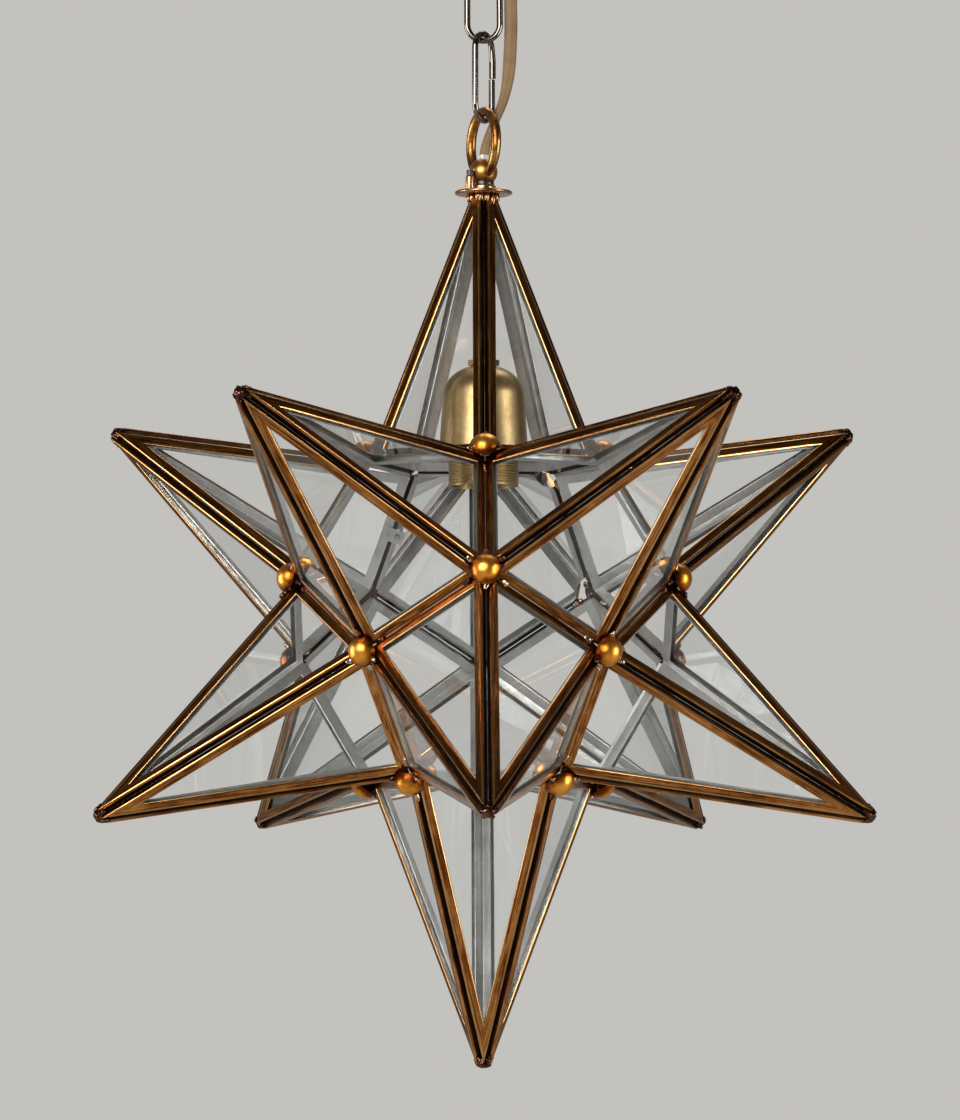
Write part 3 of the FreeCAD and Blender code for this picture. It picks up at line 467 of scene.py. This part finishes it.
MOULDED = plastic("moulded", (0.62, 0.56, 0.46), (0.55, 0.49, 0.40), rough=0.4)
CERAMIC = plastic("ceramic", (0.82, 0.80, 0.74), (0.74, 0.71, 0.65), rough=0.25)

lay_flex(SHEATH)

# %% [markdown]
# ## Light and backdrop
# Rays from the camera see a flat wall. All other rays see one that is bright behind the lantern and
# dark in front of it, which the glass and the metal reflect.

# %%
def area_light(name, place, towards, size, power):
    data = bpy.data.lights.new(name, "AREA")
    data.shape = "RECTANGLE"
    data.size, data.size_y = size
    data.energy = power
    lamp = bpy.data.objects.new(name, data)
    scene.collection.objects.link(lamp)
    lamp.location = place
    lamp.rotation_euler = (Vector(towards) - Vector(place)).to_track_quat("-Z", "Y").to_euler()


def lay_floor():
    matte, _, shader = new_material("floor_paint")
    shader.inputs["Base Color"].default_value = (0.30, 0.297, 0.285, 1)
    shader.inputs["Roughness"].default_value = 0.9
    shader.inputs["Emission Color"].default_value = (0.56, 0.555, 0.53, 1)
    shader.inputs["Emission Strength"].default_value = 0.25
    mesh = bpy.data.meshes.new("floor")
    bm = bmesh.new()
    bmesh.ops.create_circle(bm, cap_ends=True, segments=96, radius=6.0)
    bm.to_mesh(mesh)
    bm.free()
    mesh.materials.append(matte)
    floor = bpy.data.objects.new("floor", mesh)
    floor.location = (0, 0, -1.5)
    scene.collection.objects.link(floor)


def surround():
    world = bpy.data.worlds.new("studio")
    scene.world = world
    world.use_nodes = True
    tree = world.node_tree
    tree.nodes.clear()
    way = node(tree, "SeparateXYZ", {"Vector": node(tree, "TexCoord").outputs["Generated"]})
    depth = node(tree, "MapRange", {"Value": way.outputs["Y"], "From Min": -1.0, "From Max": 1.0})
    walls = ramp(tree, depth.outputs["Result"], [
        (0.0, (0.03, 0.029, 0.027)), (0.5, (0.055, 0.053, 0.049)), (0.8, (0.11, 0.107, 0.10)),
        (0.9, (0.22, 0.217, 0.207)), (0.97, (0.47, 0.465, 0.445))])
    lift = node(tree, "MapRange", {"Value": way.outputs["Z"], "From Min": 0.6, "From Max": 1.0,
                                   "To Min": 0.0, "To Max": 0.06})
    room = node(tree, "Mix", data_type="RGBA", inputs={
        "Factor": lift.outputs["Result"], "A": walls, "B": (1, 1, 0.98, 1)})
    tone = node(tree, "Mix", data_type="RGBA", inputs={
        "Factor": node(tree, "LightPath").outputs["Is Camera Ray"], "A": room.outputs["Result"],
        "B": (0.545, 0.538, 0.513, 1)})
    background = node(tree, "Background", {"Color": tone.outputs["Result"], "Strength": 1.0})
    node(tree, "OutputWorld", {"Surface": background.outputs[0]})


scene.view_settings.view_transform = "Standard"
lay_floor()
surround()
for name, place, size, power in (
        ("key_left", (-1.0, -2.2, 0.4), (1.7, 1.4), 78), ("strip_right", (2.0, -0.9, -0.5), (0.8, 1.3), 36),
        ("strip_left", (-2.0, 0.0, -0.5), (0.8, 1.3), 26), ("top_back", (0.2, 1.0, 1.5), (1.5, 1.1), 18)):
    area_light(name, place, (0, 0, -0.42), size, power)

# %% [markdown]
# ## Shapes
# What turns, paints, cuts and joins shapes, and carries them from a local frame to their place.

# %%
def circle(bm, radius, height, around):
    """Vertices round Z, or one on the axis."""
    count = around if radius > 1e-6 else 1
    return [bm.verts.new((radius * math.cos(math.tau * k / around),
                          radius * math.sin(math.tau * k / around), height)) for k in range(count)]


def lathe(profile, around):
    """A profile of (radius, height) pairs spun about Z."""
    bm = bmesh.new()
    rings = [circle(bm, radius, height, around) for radius, height in profile]
    for one, two in zip(rings, rings[1:]):
        for k in range(around):
            m = (k + 1) % around
            corners = [one[k % len(one)], one[m % len(one)], two[m % len(two)], two[k % len(two)]]
            unique = list(dict.fromkeys(corners))
            if len(unique) > 2:
                bm.faces.new(unique)
    return bm


def painted(bm, index):
    for face in bm.faces:
        face.material_index = index
    return bm


def cut_off(bm, place, way):
    """Takes away what lies beyond a plane."""
    whole = bm.verts[:] + bm.edges[:] + bm.faces[:]
    bmesh.ops.bisect_plane(bm, geom=whole, plane_co=place, plane_no=way, clear_outer=True)


def joined(parts):
    """Several bmeshes as one."""
    whole = bmesh.new()
    for bm in parts:
        mesh = bpy.data.meshes.new("part")
        bm.to_mesh(mesh)
        bm.free()
        whole.from_mesh(mesh)
        bpy.data.meshes.remove(mesh)
    return whole


def carried(bm, x_axis, z_axis, origin):
    """A shape drawn about its own origin, turned to these axes and put in its place."""
    z = Vector(z_axis).normalized()
    y = z.cross(Vector(x_axis)).normalized()
    x = y.cross(z)
    m = Matrix((x, y, z)).transposed().to_4x4()
    m.translation = Vector(origin)
    bm.transform(m)
    return bm


# %% [markdown]
# ## Corners and points of the star
# Turns are degrees from the front, to the right. Each point has its direction from the star's middle
# and the cage corner where its first side starts.

# %%
UP = Vector((0, 0, 1))


def bearing(turn, radius, height):
    a = math.radians(turn)
    return Vector((radius * math.sin(a), -radius * math.cos(a), height))


def corner(turn, share):
    height = share * CORNER_R
    return bearing(turn, math.sqrt(CORNER_R ** 2 - height ** 2), height)


CORNERS = {}
for turn in (0, 72, 144, -144, -72):
    CORNERS["cap", turn] = corner(turn, CAP_SHARE)
    CORNERS["belt", turn] = corner(turn, BELT_SHARE)
for turn in (36, 108, 180, -108, -36):
    CORNERS["under_belt", turn] = corner(turn, -BELT_SHARE)
    CORNERS["under_cap", turn] = corner(turn, -CAP_SHARE)

POINTS = {"top": (UP, CORNERS["cap", 0]), "bottom": (-UP, CORNERS["under_cap", 180])}
for name, turn in (("front_right", 36), ("right", 108), ("rear", 180), ("left", -108),
                   ("front_left", -36)):
    POINTS["upper_" + name] = (bearing(turn, 1, 0.5), CORNERS["under_belt", turn])
for name, turn in (("front", 0), ("right", 72), ("rear_right", 144), ("rear_left", -144),
                   ("left", -72)):
    POINTS["lower_" + name] = (bearing(turn, 1, -0.5), CORNERS["belt", turn])

# the rear point opens: the corners whose buttons go with it, and the corners at its hinge, from which its
# channels and its panes keep these distances
DOOR = "upper_rear"
DOOR_CORNERS = [("under_belt", 180), ("belt", -144), ("cap", -144)]
HINGE_CORNERS = [("cap", 144), ("belt", 144)]
CHANNEL_ROOM, PANE_ROOM = 10.7, 9.2
DOOR_GAP = 0.4


def body_of(name):
    return "rear_point" if name == DOOR else "star"


def gap_of(name):
    """How far a point's base edges stand back from its neighbours'."""
    return DOOR_GAP if name == DOOR else 0.0


def base_corner(k):
    a = math.tau * k / 5
    return Vector((BASE_R * math.cos(a), BASE_R * math.sin(a), 0))


def on_pane(bm, k):
    """From a flat pane's frame (X along its base, Y up it, Z out) onto side k of a point."""
    left, right = base_corner(k), base_corner(k + 1)
    middle = (left + right) / 2
    along = (right - left).normalized()
    up = (Vector((0, 0, RISE)) - middle).normalized()
    return carried(bm, along, along.cross(up), middle)


def on_point(bm, name):
    """From a point's frame (Z out of the star, base at zero) into the scene."""
    direction, start = POINTS[name]
    out = direction.normalized()
    return carried(bm, start, out, STAR + out * FACE_R)


def outline(inset, base_gap):
    """A pane's three corners: two at its base, then its peak."""
    side = RIDGE_INSET + inset
    peak = SLANT - side / math.sin(TIP_HALF)
    foot = base_gap + inset
    half = (peak - foot) * math.tan(TIP_HALF)
    return [(-half, foot), (half, foot), (0, peak)]


# %% [markdown]
# ## Pane channels
# A C-shaped strip mitred round each pane, with rolled lips. Outside faces are brown brass and the
# faces towards the star's inside are left grey.

# %%
# inset from the pane's edge, depth below its outer face, and the finish from there to the next row
# finishes: 0 brass, 1 edges of wear and painted highlight, 2 grey inside, 3 solder and painted shade where
# channels meet
SECTION = [
    (0.0, -2.5, 3), (0.0, -1.5, 0), (0.10, -0.78, 0), (0.34, -0.40, 1), (0.72, -0.15, 1), (1.20, -0.03, 0),
    (1.80, 0.0, 0), (2.60, -0.01, 0), (3.40, -0.06, 0), (4.10, -0.16, 0), (4.62, -0.30, 1),
    (4.98, -0.48, 1), (5.18, -0.72, 1), (5.16, -0.92, 2), (4.95, -1.0, 2), (4.4, -0.85, 2),
    (0.7, -0.75, 2), (0.7, 0.7 - DEPTH, 2), (4.6, 0.6 - DEPTH, 2), (5.1, 0.5 - DEPTH, 2),
    (5.2, 0.28 - DEPTH, 2), (5.0, 0.06 - DEPTH, 2), (4.5, -DEPTH, 2), (2.6, 0.02 - DEPTH, 2),
    (0.6, -DEPTH, 2), (0.05, -DEPTH, 3), (0.0, 0.05 - DEPTH, 3),
]
# the base side keeps a square edge, so that neighbouring points meet without a slit: inset and depth
# there of these rows of the section
BASE_EDGE = {1: (0.0, -0.3), 2: (0.02, -0.12), 3: (0.16, -0.05), 4: (0.5, -0.02)}
STEPS = 14  # to a side
# the most that the strip wanders from its line, and that its flange's lip sinks
DRIFT, LEAN = 0.05, 0.09


def channel(base_gap, seed):
    """One bent strip, never quite straight: its section drifts a little along each side.

    Its map "along" holds the way along the strip and the way across it, for drawn lines.
    """
    bm = bmesh.new()
    rows = []
    for n, (inset, depth, finish) in enumerate(SECTION):
        foot, foot_depth = BASE_EDGE.get(n, (inset, depth))
        corners = [Vector((x, y, depth)) for x, y in outline(inset, base_gap + foot - inset)]
        row = []
        for c in range(3):
            here, there = corners[c], corners[(c + 1) % 3]
            inward = Vector((here.y - there.y, there.x - here.x, 0)).normalized()
            for i in range(STEPS):
                t = i / STEPS
                ease = min(1.0, 6 * t, 6 * (1 - t))
                drift = noise.noise(Vector((c * 9 + t * 5.5, seed, 0.5))) * DRIFT
                lean = noise.noise(Vector((c * 9 + t * 4.5, seed, 7.5))) * LEAN * (inset / FLANGE)
                if c == 0 and inset < 1:
                    drift = 0.0
                p = here.lerp(there, t) + (inward * drift - Vector((0, 0, max(0.0, lean)))) * ease
                if c == 0 and i:
                    p.z += foot_depth - depth
                row.append(bm.verts.new(p))
        rows.append(row)
    around = 3 * STEPS
    ways = bm.loops.layers.uv.new("along")
    for k, (one, two) in enumerate(zip(rows, rows[1:] + rows[:1])):
        for c in range(around):
            d = (c + 1) % around
            face = bm.faces.new((one[c], two[c], two[d], one[d]))
            inner_seam = c < STEPS and k >= len(SECTION) - 2
            face.material_index = 2 if inner_seam else SECTION[k][2]
            lengths = (c, c, c + 1, c + 1)
            for loop, length, row in zip(face.loops, lengths, (k, k + 1, k + 1, k)):
                across = SECTION[row % len(SECTION)]
                loop[ways].uv = (length * 0.35 + seed, (across[0] - across[1] * 0.6) * 0.5)
    return bm


def five_channels(name):
    parts = []
    for k in range(5):
        seed = list(POINTS).index(name) * 11.0 + k * 2.3
        bm = on_pane(channel(gap_of(name), seed), k)
        if name != "top":
            cut_off(bm, (0, 0, CHANNEL_END), UP)
        parts.append(bm)
    return on_point(joined(parts), name)


def pane(base_gap):
    """The sheet of glass in a channel, seen as one surface at the middle of its thickness."""
    edge = STRIP + 0.15
    bm = bmesh.new()
    bm.faces.new([bm.verts.new((x, y, -DEPTH / 2)) for x, y in outline(edge, base_gap)])
    return bm


def build_glass():
    tiers = {"top": ["top"], "bottom": ["bottom"], "rear_door": [DOOR],
             "upper": [n for n in POINTS if n.startswith("upper") and n != DOOR],
             "lower": [n for n in POINTS if n.startswith("lower")]}
    for tier, names in tiers.items():
        parts = []
        for name in names:
            for k in range(5):
                bm = on_pane(pane(gap_of(name)), k)
                if name != "top":
                    cut_off(bm, (0, 0, PANE_END), UP)
                parts.append(on_point(bm, name))
        bm = joined(parts)
        if tier == "top":
            cut_off(bm, (0, 0, STAR_Z + TOP_PANE_END), UP)
        if tier == "rear_door":
            middle = STAR + POINTS[DOOR][0].normalized() * FACE_R
            for key in HINGE_CORNERS:
                away = (STAR + CORNERS[key] - middle).normalized()
                cut_off(bm, STAR + CORNERS[key] - away * PANE_ROOM, away)
        add_piece("panes_" + tier, bm, [GLASS], body_of(names[0]), ("glass_" + tier,),
                  smooth=False)


def build_frames():
    for name in POINTS:
        bm = five_channels(name)
        if name == "top":
            cut_off(bm, (0, 0, STAR_Z + TOP_CHANNEL_END), UP)
        if name == DOOR:
            for key in HINGE_CORNERS:
                place = STAR + CORNERS[key]
                for v in bm.verts:
                    if (v.co - place).length < CHANNEL_ROOM:
                        v.co = place + (v.co - place).normalized() * CHANNEL_ROOM
        add_piece("channels_" + name, bm, [CAME, CAME_EDGE_WEAR_AND_HIGHLIGHT, PEWTER, GROOVE_SOLDER_AND_SHADE], body_of(name),
                  ("frame_" + name,), angle=38)


build_frames()
build_glass()


# %% [markdown]
# ## Turned pieces
# Profiles are (radius, height) pairs. Threads are one helix, cut as a wave of the radius.

# %%
STEM_BORE = 5.05  # of what is threaded on the stem


def rounded(points, radius):
    """A closed profile with its corners rounded."""
    steps = 3
    out = []
    count = len(points)
    for k in range(count):
        here = Vector((*points[k], 0))
        before = Vector((*points[k - 1], 0)) - here
        after = Vector((*points[(k + 1) % count], 0)) - here
        reach = min(radius, 0.45 * before.length, 0.45 * after.length)
        a, b = here + before.normalized() * reach, here + after.normalized() * reach
        for i in range(steps + 1):
            t = i / steps
            p = a * (1 - t) ** 2 + here * 2 * t * (1 - t) + b * t ** 2
            out.append((p.x, p.y))
    return out + out[:1]


def band(inner, outer, low, high):
    """The profile of a plain ring."""
    return [(inner, low), (outer, low), (outer, high), (inner, high)]


def spun(name, points, material, radius, around=72, at=(0, 0, 0)):
    """A turned piece of the star in a solid's place, its corners rounded."""
    bm = lathe(rounded(points, radius), around)
    bmesh.ops.remove_doubles(bm, verts=bm.verts, dist=1e-5)
    bm.transform(Matrix.Translation(at))
    add_piece(name + "_turned", bm, [material], "star", (name,), 40)


def thread(crest, root, bore, low, high, pitch, around, per_turn, lead=1.0):
    """A tube whose outside is a screw thread that fades in over `lead`, with a plain bore."""
    flat = 0.12  # share of a turn that crest and root each take
    count = int((high - low) / pitch * per_turn)
    bm = bmesh.new()
    rows = []
    for i in range(count + 1):
        z = low + (high - low) * i / count
        edge = min(1.0, (z - low) / lead, (high - z) / lead)
        row = []
        for k in range(around):
            wave = abs(((z / pitch - k / around) % 1.0) * 2 - 1)
            wave = min(1.0, max(0.0, (wave - flat) / (1 - 2 * flat))) * max(edge, 0.0)
            r = root + (crest - root) * wave
            a = math.tau * k / around
            row.append(bm.verts.new((r * math.cos(a), r * math.sin(a), z)))
        rows.append(row)
    rows += [circle(bm, bore, z, around) for z in (high, low)]
    for one, two in zip(rows, rows[1:] + rows[:1]):
        for k in range(around):
            bm.faces.new((one[k], one[(k + 1) % around], two[(k + 1) % around], two[k]))
    return bm


def wobble(bm, amount, scale, seed):
    """Uneven surface: each vertex moved along its normal by smooth noise."""
    bm.normal_update()
    offset = Vector((seed, seed * 1.7, -seed))
    shifts = [(v, v.normal * noise.noise(v.co * scale + offset) * amount) for v in bm.verts]
    for v, shift in shifts:
        v.co += shift
    return bm


def blob(size, amount, scale, seed, subdivisions=3):
    """An uneven ellipsoid."""
    bm = bmesh.new()
    bmesh.ops.create_icosphere(bm, subdivisions=subdivisions, radius=1.0)
    bm.transform(Matrix.Diagonal((*size, 1.0)))
    return wobble(bm, amount, scale, seed)


def top_fittings():
    low = BALL_Z - 5.5
    spun("lock_nut", band(STEM_BORE, 5.8, low - 2.2, low), STEEL, 0.35)
    spun("collar_nut", band(STEM_BORE, 6.8, low - 5.2, low - 2.2), COLLAR, 0.6)
    base = low - 7.2
    spun("collar", [(STEM_BORE, base), (15.3, base), (16, base + 0.6), (16, base + 1.4), (15.3, base + 2),
                    (STEM_BORE, base + 2)], COLLAR, 0.5, around=96)
    place = (-7.6, -6.3, 0)
    spun("post", band(0, 2.4, base + 2, base + 9.3), COLLAR, 0.45, around=40, at=place)
    spun("post_screw", band(0, 1.9, base + 9.3, base + 12.9), STEEL, 0.5, around=40, at=place)
    spun("flex_bush", band(3.1, 3.85, BALL_Z + 6.7, BALL_Z + 9.3), CLEAR, 0.25)
    bm = thread(5.0, 4.7, 3.8, -279.239, -171.239, 1.0, 40, 4)
    add_piece("stem_threaded", bm, [BELL], "star", ("stem",), 60)


def quarter(steps):
    """Angles from zero to a right angle."""
    return [math.pi / 2 * k / steps for k in range(steps + 1)]


def lampholder():
    # the bell: a round shoulder from its flat top down to a skirt that flares a little
    top, foot = -275.039, -325.639
    hub, wide, shoulder, skirt, flare, sheet = 2.0, 20.5, 17, 33.6, 2.3, 1.0
    neck = top - shoulder
    outer = [(hub + wide * math.sin(a), neck + shoulder * math.cos(a)) for a in quarter(28)]
    outer += [(hub + wide + flare * t, neck - skirt * t) for t in (0.33, 0.66, 0.96)]
    rim = [(24.8, foot + 0.8), (24.8, foot + 0.25), (24.5, foot), (24.0, foot), (23.75, foot + 0.4)]
    inner = [(hub + wide - sheet + flare * t, neck - skirt * t) for t in (0.9, 0.5)]
    inner += [(hub + (wide - sheet) * math.sin(a), neck + (shoulder - sheet) * math.cos(a))
              for a in reversed(quarter(20))]
    profile = [(STEM_BORE, top)] + [p for p in outer if p[0] > 5.3] + rim
    profile += [p for p in inner if p[0] > 5.2] + [(STEM_BORE, top - sheet), (STEM_BORE, top)]
    add_piece("bell_spun", lathe(profile, 128), [BELL], "star", ("bell",), 40)
    spun("shade_ring", [(19.55, foot - 1.9), (26.4, foot - 1.9), (27, foot - 1.3), (27, foot - 0.4),
                        (26.5, foot), (19.55, foot)], BELL, 0.3, around=128)
    # the cap, whose skirt steps down over the sleeve's upper end
    high, middle, lip = -276.939, -291.039, -297.039
    spun("lamp_cap", [(STEM_BORE, high), (7, high), (7, middle + 2), (9, middle), (19.5, middle),
                      (19.5, lip + 0.05), (17.95, lip + 0.05), (17.95, lip - 3), (16.55, lip - 3),
                      (16.55, middle - 1.6), (STEM_BORE, middle - 1.6)], BELL, 0.4, around=96)
    bm = thread(19.5, 18.95, 18.0, -342.039, lip, 1.4, 120, 6)
    add_piece("sleeve_threaded", bm, [BELL], "star", ("threaded_sleeve",), 70)
    bm = thread(13.9, 13.45, 13.4, -331.089, -310.089, 3.6, 72, 12, 1.2)
    add_piece("shell_rolled", bm, [NICKEL], "star", ("screw_shell",), 70)


top_fittings()
lampholder()


# %% [markdown]
# ## Buttons and solder
# One piece of domes with their beds and runs of solder, one of the fixed points' tips, the opening
# point's tip, and the solder under the collar.

# %%
def dome():
    """A pressed dome with a rounded rim; its underside is closed."""
    radius, height, rim = 8.0, 6.5, 0.45
    sphere = (radius ** 2 + height ** 2) / (2 * height)
    centre = height - sphere
    start = math.asin((rim - centre) / sphere)
    profile = [(0, 0.05), (6.9, 0.0), (7.45, 0.0), (7.8, 0.12), (7.95, 0.32)]
    for k in range(14):
        a = start + (math.pi / 2 - start) * k / 14
        profile.append((sphere * math.cos(a), centre + sphere * math.sin(a)))
    return lathe(profile + [(0, height)], 48)


def solder_bed(seed):
    """Uneven solder between a dome and the bars under it, drawn out along the three bars."""
    bm = lathe([(0, -4.4), (2.6, -4.3), (4.2, -3.0), (5.0, -1.6), (6.3, -0.4), (6.9, 0.25), (0, 0.3)], 36)
    for v in bm.verts:
        a = math.atan2(v.co.y, v.co.x)
        radius = math.hypot(v.co.x, v.co.y)
        if 3.0 < radius and v.co.z > -2.9:
            push = 1 + 0.16 * max(0.0, math.cos(3 * a)) + 0.10 * noise.noise(Vector((a * 2.2, seed, 0.3)))
            v.co.x *= push
            v.co.y *= push
    return wobble(bm, 0.5, 0.55, seed)


def cage_ways(place):
    """Directions from a cage corner along its three edges."""
    ranked = sorted(CORNERS.values(), key=lambda other: (other - place).length)
    return [(other - place).normalized() for other in ranked[1:4]]


def solder_runs(k, place):
    """Runs of solder along the cage's edges at a corner, and up the ridges of its three points."""
    out = place.normalized()
    tips = sorted((direction.normalized() * APEX for direction, start in POINTS.values()),
                  key=lambda tip: (tip - place).length)[:3]
    # direction, distance from the corner, height and half sizes
    seats = [(way, 10.6, -0.1, (3.4, 2.2, 1.6)) for way in cage_ways(place)]
    seats += [((tip - place).normalized(), 9.6, -1.15, (3.0, 1.5, 1.35)) for tip in tips]
    runs = []
    for n, (way, reach, sink, size) in enumerate(seats):
        reach += 2.0 * noise.noise(Vector((k * 1.3, n * 2.1, 4.0)))
        up = (out - way * out.dot(way)).normalized()
        drop = painted(blob(size, 0.9, 0.6, k * 2.3 + n), 2 if (k * 2 + n) % 3 else 1)
        runs.append(carried(drop, way, up, STAR + place + way * reach + up * sink))
    return runs


def build_buttons():
    parts = []
    for k, (key, place) in enumerate(CORNERS.items()):
        if key in DOOR_CORNERS:
            continue
        out = place.normalized()
        first = cage_ways(place)[0]
        side = (first - out * first.dot(out)).normalized()
        seat = STAR + out * (CORNER_R + DOME_SEAT)
        cap = dome()
        turned = Matrix.Rotation(math.radians(37 * k), 4, "Z")
        cap.transform(turned @ Matrix.Diagonal((1.06, 1.06, 1.08, 1)))
        wobble(cap, 0.10, 0.22, k * 3.1)
        parts.append(carried(painted(cap, 0), side, out, seat))
        parts.append(carried(painted(solder_bed(k * 5.3), 1), side, out, seat))
        parts += solder_runs(k, place)
    add_piece("domes", joined(parts), [BUTTON, SOLDER, TIN], "star", ("buttons",), 50)


def lumpy_tip(name, seed):
    """Rough solder between the channels' ends: a lump over the end and a run down each ridge."""
    profile = [(0, -3.2), (2.9, -3.0), (3.45, -0.6), (3.4, 0.6), (3.05, 1.5), (2.4, 2.05), (1.3, 2.3),
               (0, 2.2)]
    bm = lathe([(radius, INNER_PEAK + height) for radius, height in profile], 36)
    for v in bm.verts:
        a = math.atan2(v.co.y, v.co.x)
        flat = 1 - 0.10 * (0.5 - 0.5 * math.cos(5 * a))
        v.co.x *= flat
        v.co.y *= flat
    parts = [wobble(bm, 0.7, 0.75, seed)]
    # the runs lie 1.75 mm inside the ridges
    start = INNER_PEAK - 1.2
    lean = math.atan2(BASE_R, RISE)
    r = (RISE - start) * BASE_R / RISE - 1.75
    for k in range(5):
        run = 2.6 + 2.2 * abs(noise.noise(Vector((seed, k * 1.7, 3.0))))
        drop = blob((0.8, 0.95, run), 0.5, 0.7, seed + k * 2.1)
        drop.transform(Matrix.Rotation(-lean, 4, "Y"))
        drop.transform(Matrix.Translation((r, 0, start)))
        drop.transform(Matrix.Rotation(math.tau * k / 5, 4, "Z"))
        parts.append(drop)
    whole = joined(parts)
    for v in whole.verts:
        v.co.z = min(v.co.z, INNER_PEAK + 2.35)
    return on_point(whole, name)


def build_tips():
    fixed = [lumpy_tip(name, k * 3.7) for k, name in enumerate(POINTS) if name not in ("top", DOOR)]
    add_piece("tips", joined(fixed), [SOLDER], "star", ("solder_tips",), 50)
    add_piece("tip_door", lumpy_tip(DOOR, 41.0), [SOLDER], "rear_point", ("solder_tip_door",), 50)


def crown_solder():
    """Solder run into the corners between the top point's channels and the collar."""
    count = 15
    drops = []
    for k in range(count):
        a = math.tau * k / count + 0.5 * noise.noise(Vector((k * 1.9, 0.4, 0)))
        r = 7.7 + 0.8 * noise.noise(Vector((k * 2.3, 5.0, 0)))
        tall = 2.2 + 3.4 * abs(noise.noise(Vector((k * 3.1, 2.0, 1.0))))
        drop = blob((1.5, 1.5, tall), 0.5, 0.8, k * 1.9, subdivisions=2)
        drop.transform(Matrix.Translation((r * math.cos(a), r * math.sin(a), BALL_Z - 12.8 - tall * 0.8)))
        drops.append(drop)
    add_piece("crown_solder", joined(drops), [COLLAR], "star", angle=50)


build_buttons()
build_tips()
crown_solder()


# %% [markdown]
# ## Wires and spun cup
# The links are drawn anew as bent wire; the other pieces follow the imported solids' own surfaces, welded
# and shaded smooth.

# %%
def welded(name, material, body):
    source = nodes[name]
    bm = bmesh.new()
    bm.from_mesh(source.data)
    bm.transform(source.matrix_world)
    bmesh.ops.remove_doubles(bm, verts=bm.verts, dist=1e-6)
    bm.transform(Matrix.Scale(1 / MM, 4))
    add_piece(name + "_smooth", bm, [material], body, (name,))


LINK_HALF = 24.25  # half the height between the wire's middles


def link(name, body, foot, turn):
    """Long link whose two butted ends, half way up one side, stand a step apart."""
    bend, wire, gap = 9.05, 1.75, 0.4
    straight = LINK_HALF - bend
    line, radii = [], []
    for k in range(13):
        t = k / 12
        ease = min(1.0, 3.2 * (1 - t))
        line.append(Vector((bend + 0.6 * ease, 0, gap + (straight - gap) * t)))
        radii.append(wire + 0.12 * ease)
    for k in range(1, 33):
        a = math.pi * k / 32
        line.append(Vector((bend * math.cos(a), 0, straight + bend * math.sin(a))))
    for k in range(33):
        a = math.pi + math.pi * k / 32
        line.append(Vector((bend * math.cos(a), 0, -straight + bend * math.sin(a))))
    line.append(Vector((bend - 0.15, 0, -gap)))
    radii += [wire] * (len(line) - len(radii))
    side = Vector((0, 1, 0))
    frames = [(t, side, t.cross(side)) for t, *_ in frames_along(line)]
    bm = tube(line, radii, 24, frames, caps=True)
    bm.transform(Matrix.Translation((0, 0, foot + LINK_HALF)) @ Matrix.Rotation(math.radians(turn), 4, "Z"))
    add_piece(name + "_bent", bm, [NICKEL], body, (name,), 50)


link("link_upper", "upper_link", -93.9, 0)
link("link_lower", "lower_link", -138.6, 58.6)

for name, material, body in (
        ("suspension_ring", RING, "ring"), ("ceiling_hook", RING, "ceiling"), ("canopy", BELL, "ceiling"),
        ("ball_finial", TURNED, "star"), ("buttons_door", BUTTON, "rear_point")):
    welded(name, material, body)


# %% [markdown]
# ## Carried-over solids
# The small solids keep their own mesh, with a bevel and a finish.

# %%
def dress(name, material, bevel):
    obj = nodes[name]
    obj.data.materials.clear()
    obj.data.materials.append(material)
    if bevel:
        mod = obj.modifiers.new("bevel", "BEVEL")
        mod.width = bevel * MM
        mod.segments = 2
        mod.limit_method = "ANGLE"
        mod.angle_limit = math.radians(35)
        mod.harden_normals = True


for name, material, bevel in (
        ("ceiling_bracket", STEEL, 0.2), ("bracket_nut", STEEL, 0.3), ("canopy_nut", TURNED, 0.3),
        ("cord_grip", MOULDED, 0.3), ("cord_grip_nut", MOULDED, 0.3), ("terminal_block", MOULDED, 0.4),
        ("terminal_screws", STEEL, 0.1), ("flex_stem", SHEATH, 0.0), ("bell_nut", BELL, 0.3),
        ("socket_insert", CERAMIC, 0.4), ("centre_contact", TURNED, 0.1), ("socket_screws", TURNED, 0.15),
        ("hinge_knuckles", COLLAR, 0.12), ("hinge_knuckle_door", COLLAR, 0.12), ("hinge_pin", STEEL, 0.15),
        ("catch_stud", PEWTER, 0.1), ("catch_keeper", PEWTER, 0.1)):
    dress(name, material, bevel)
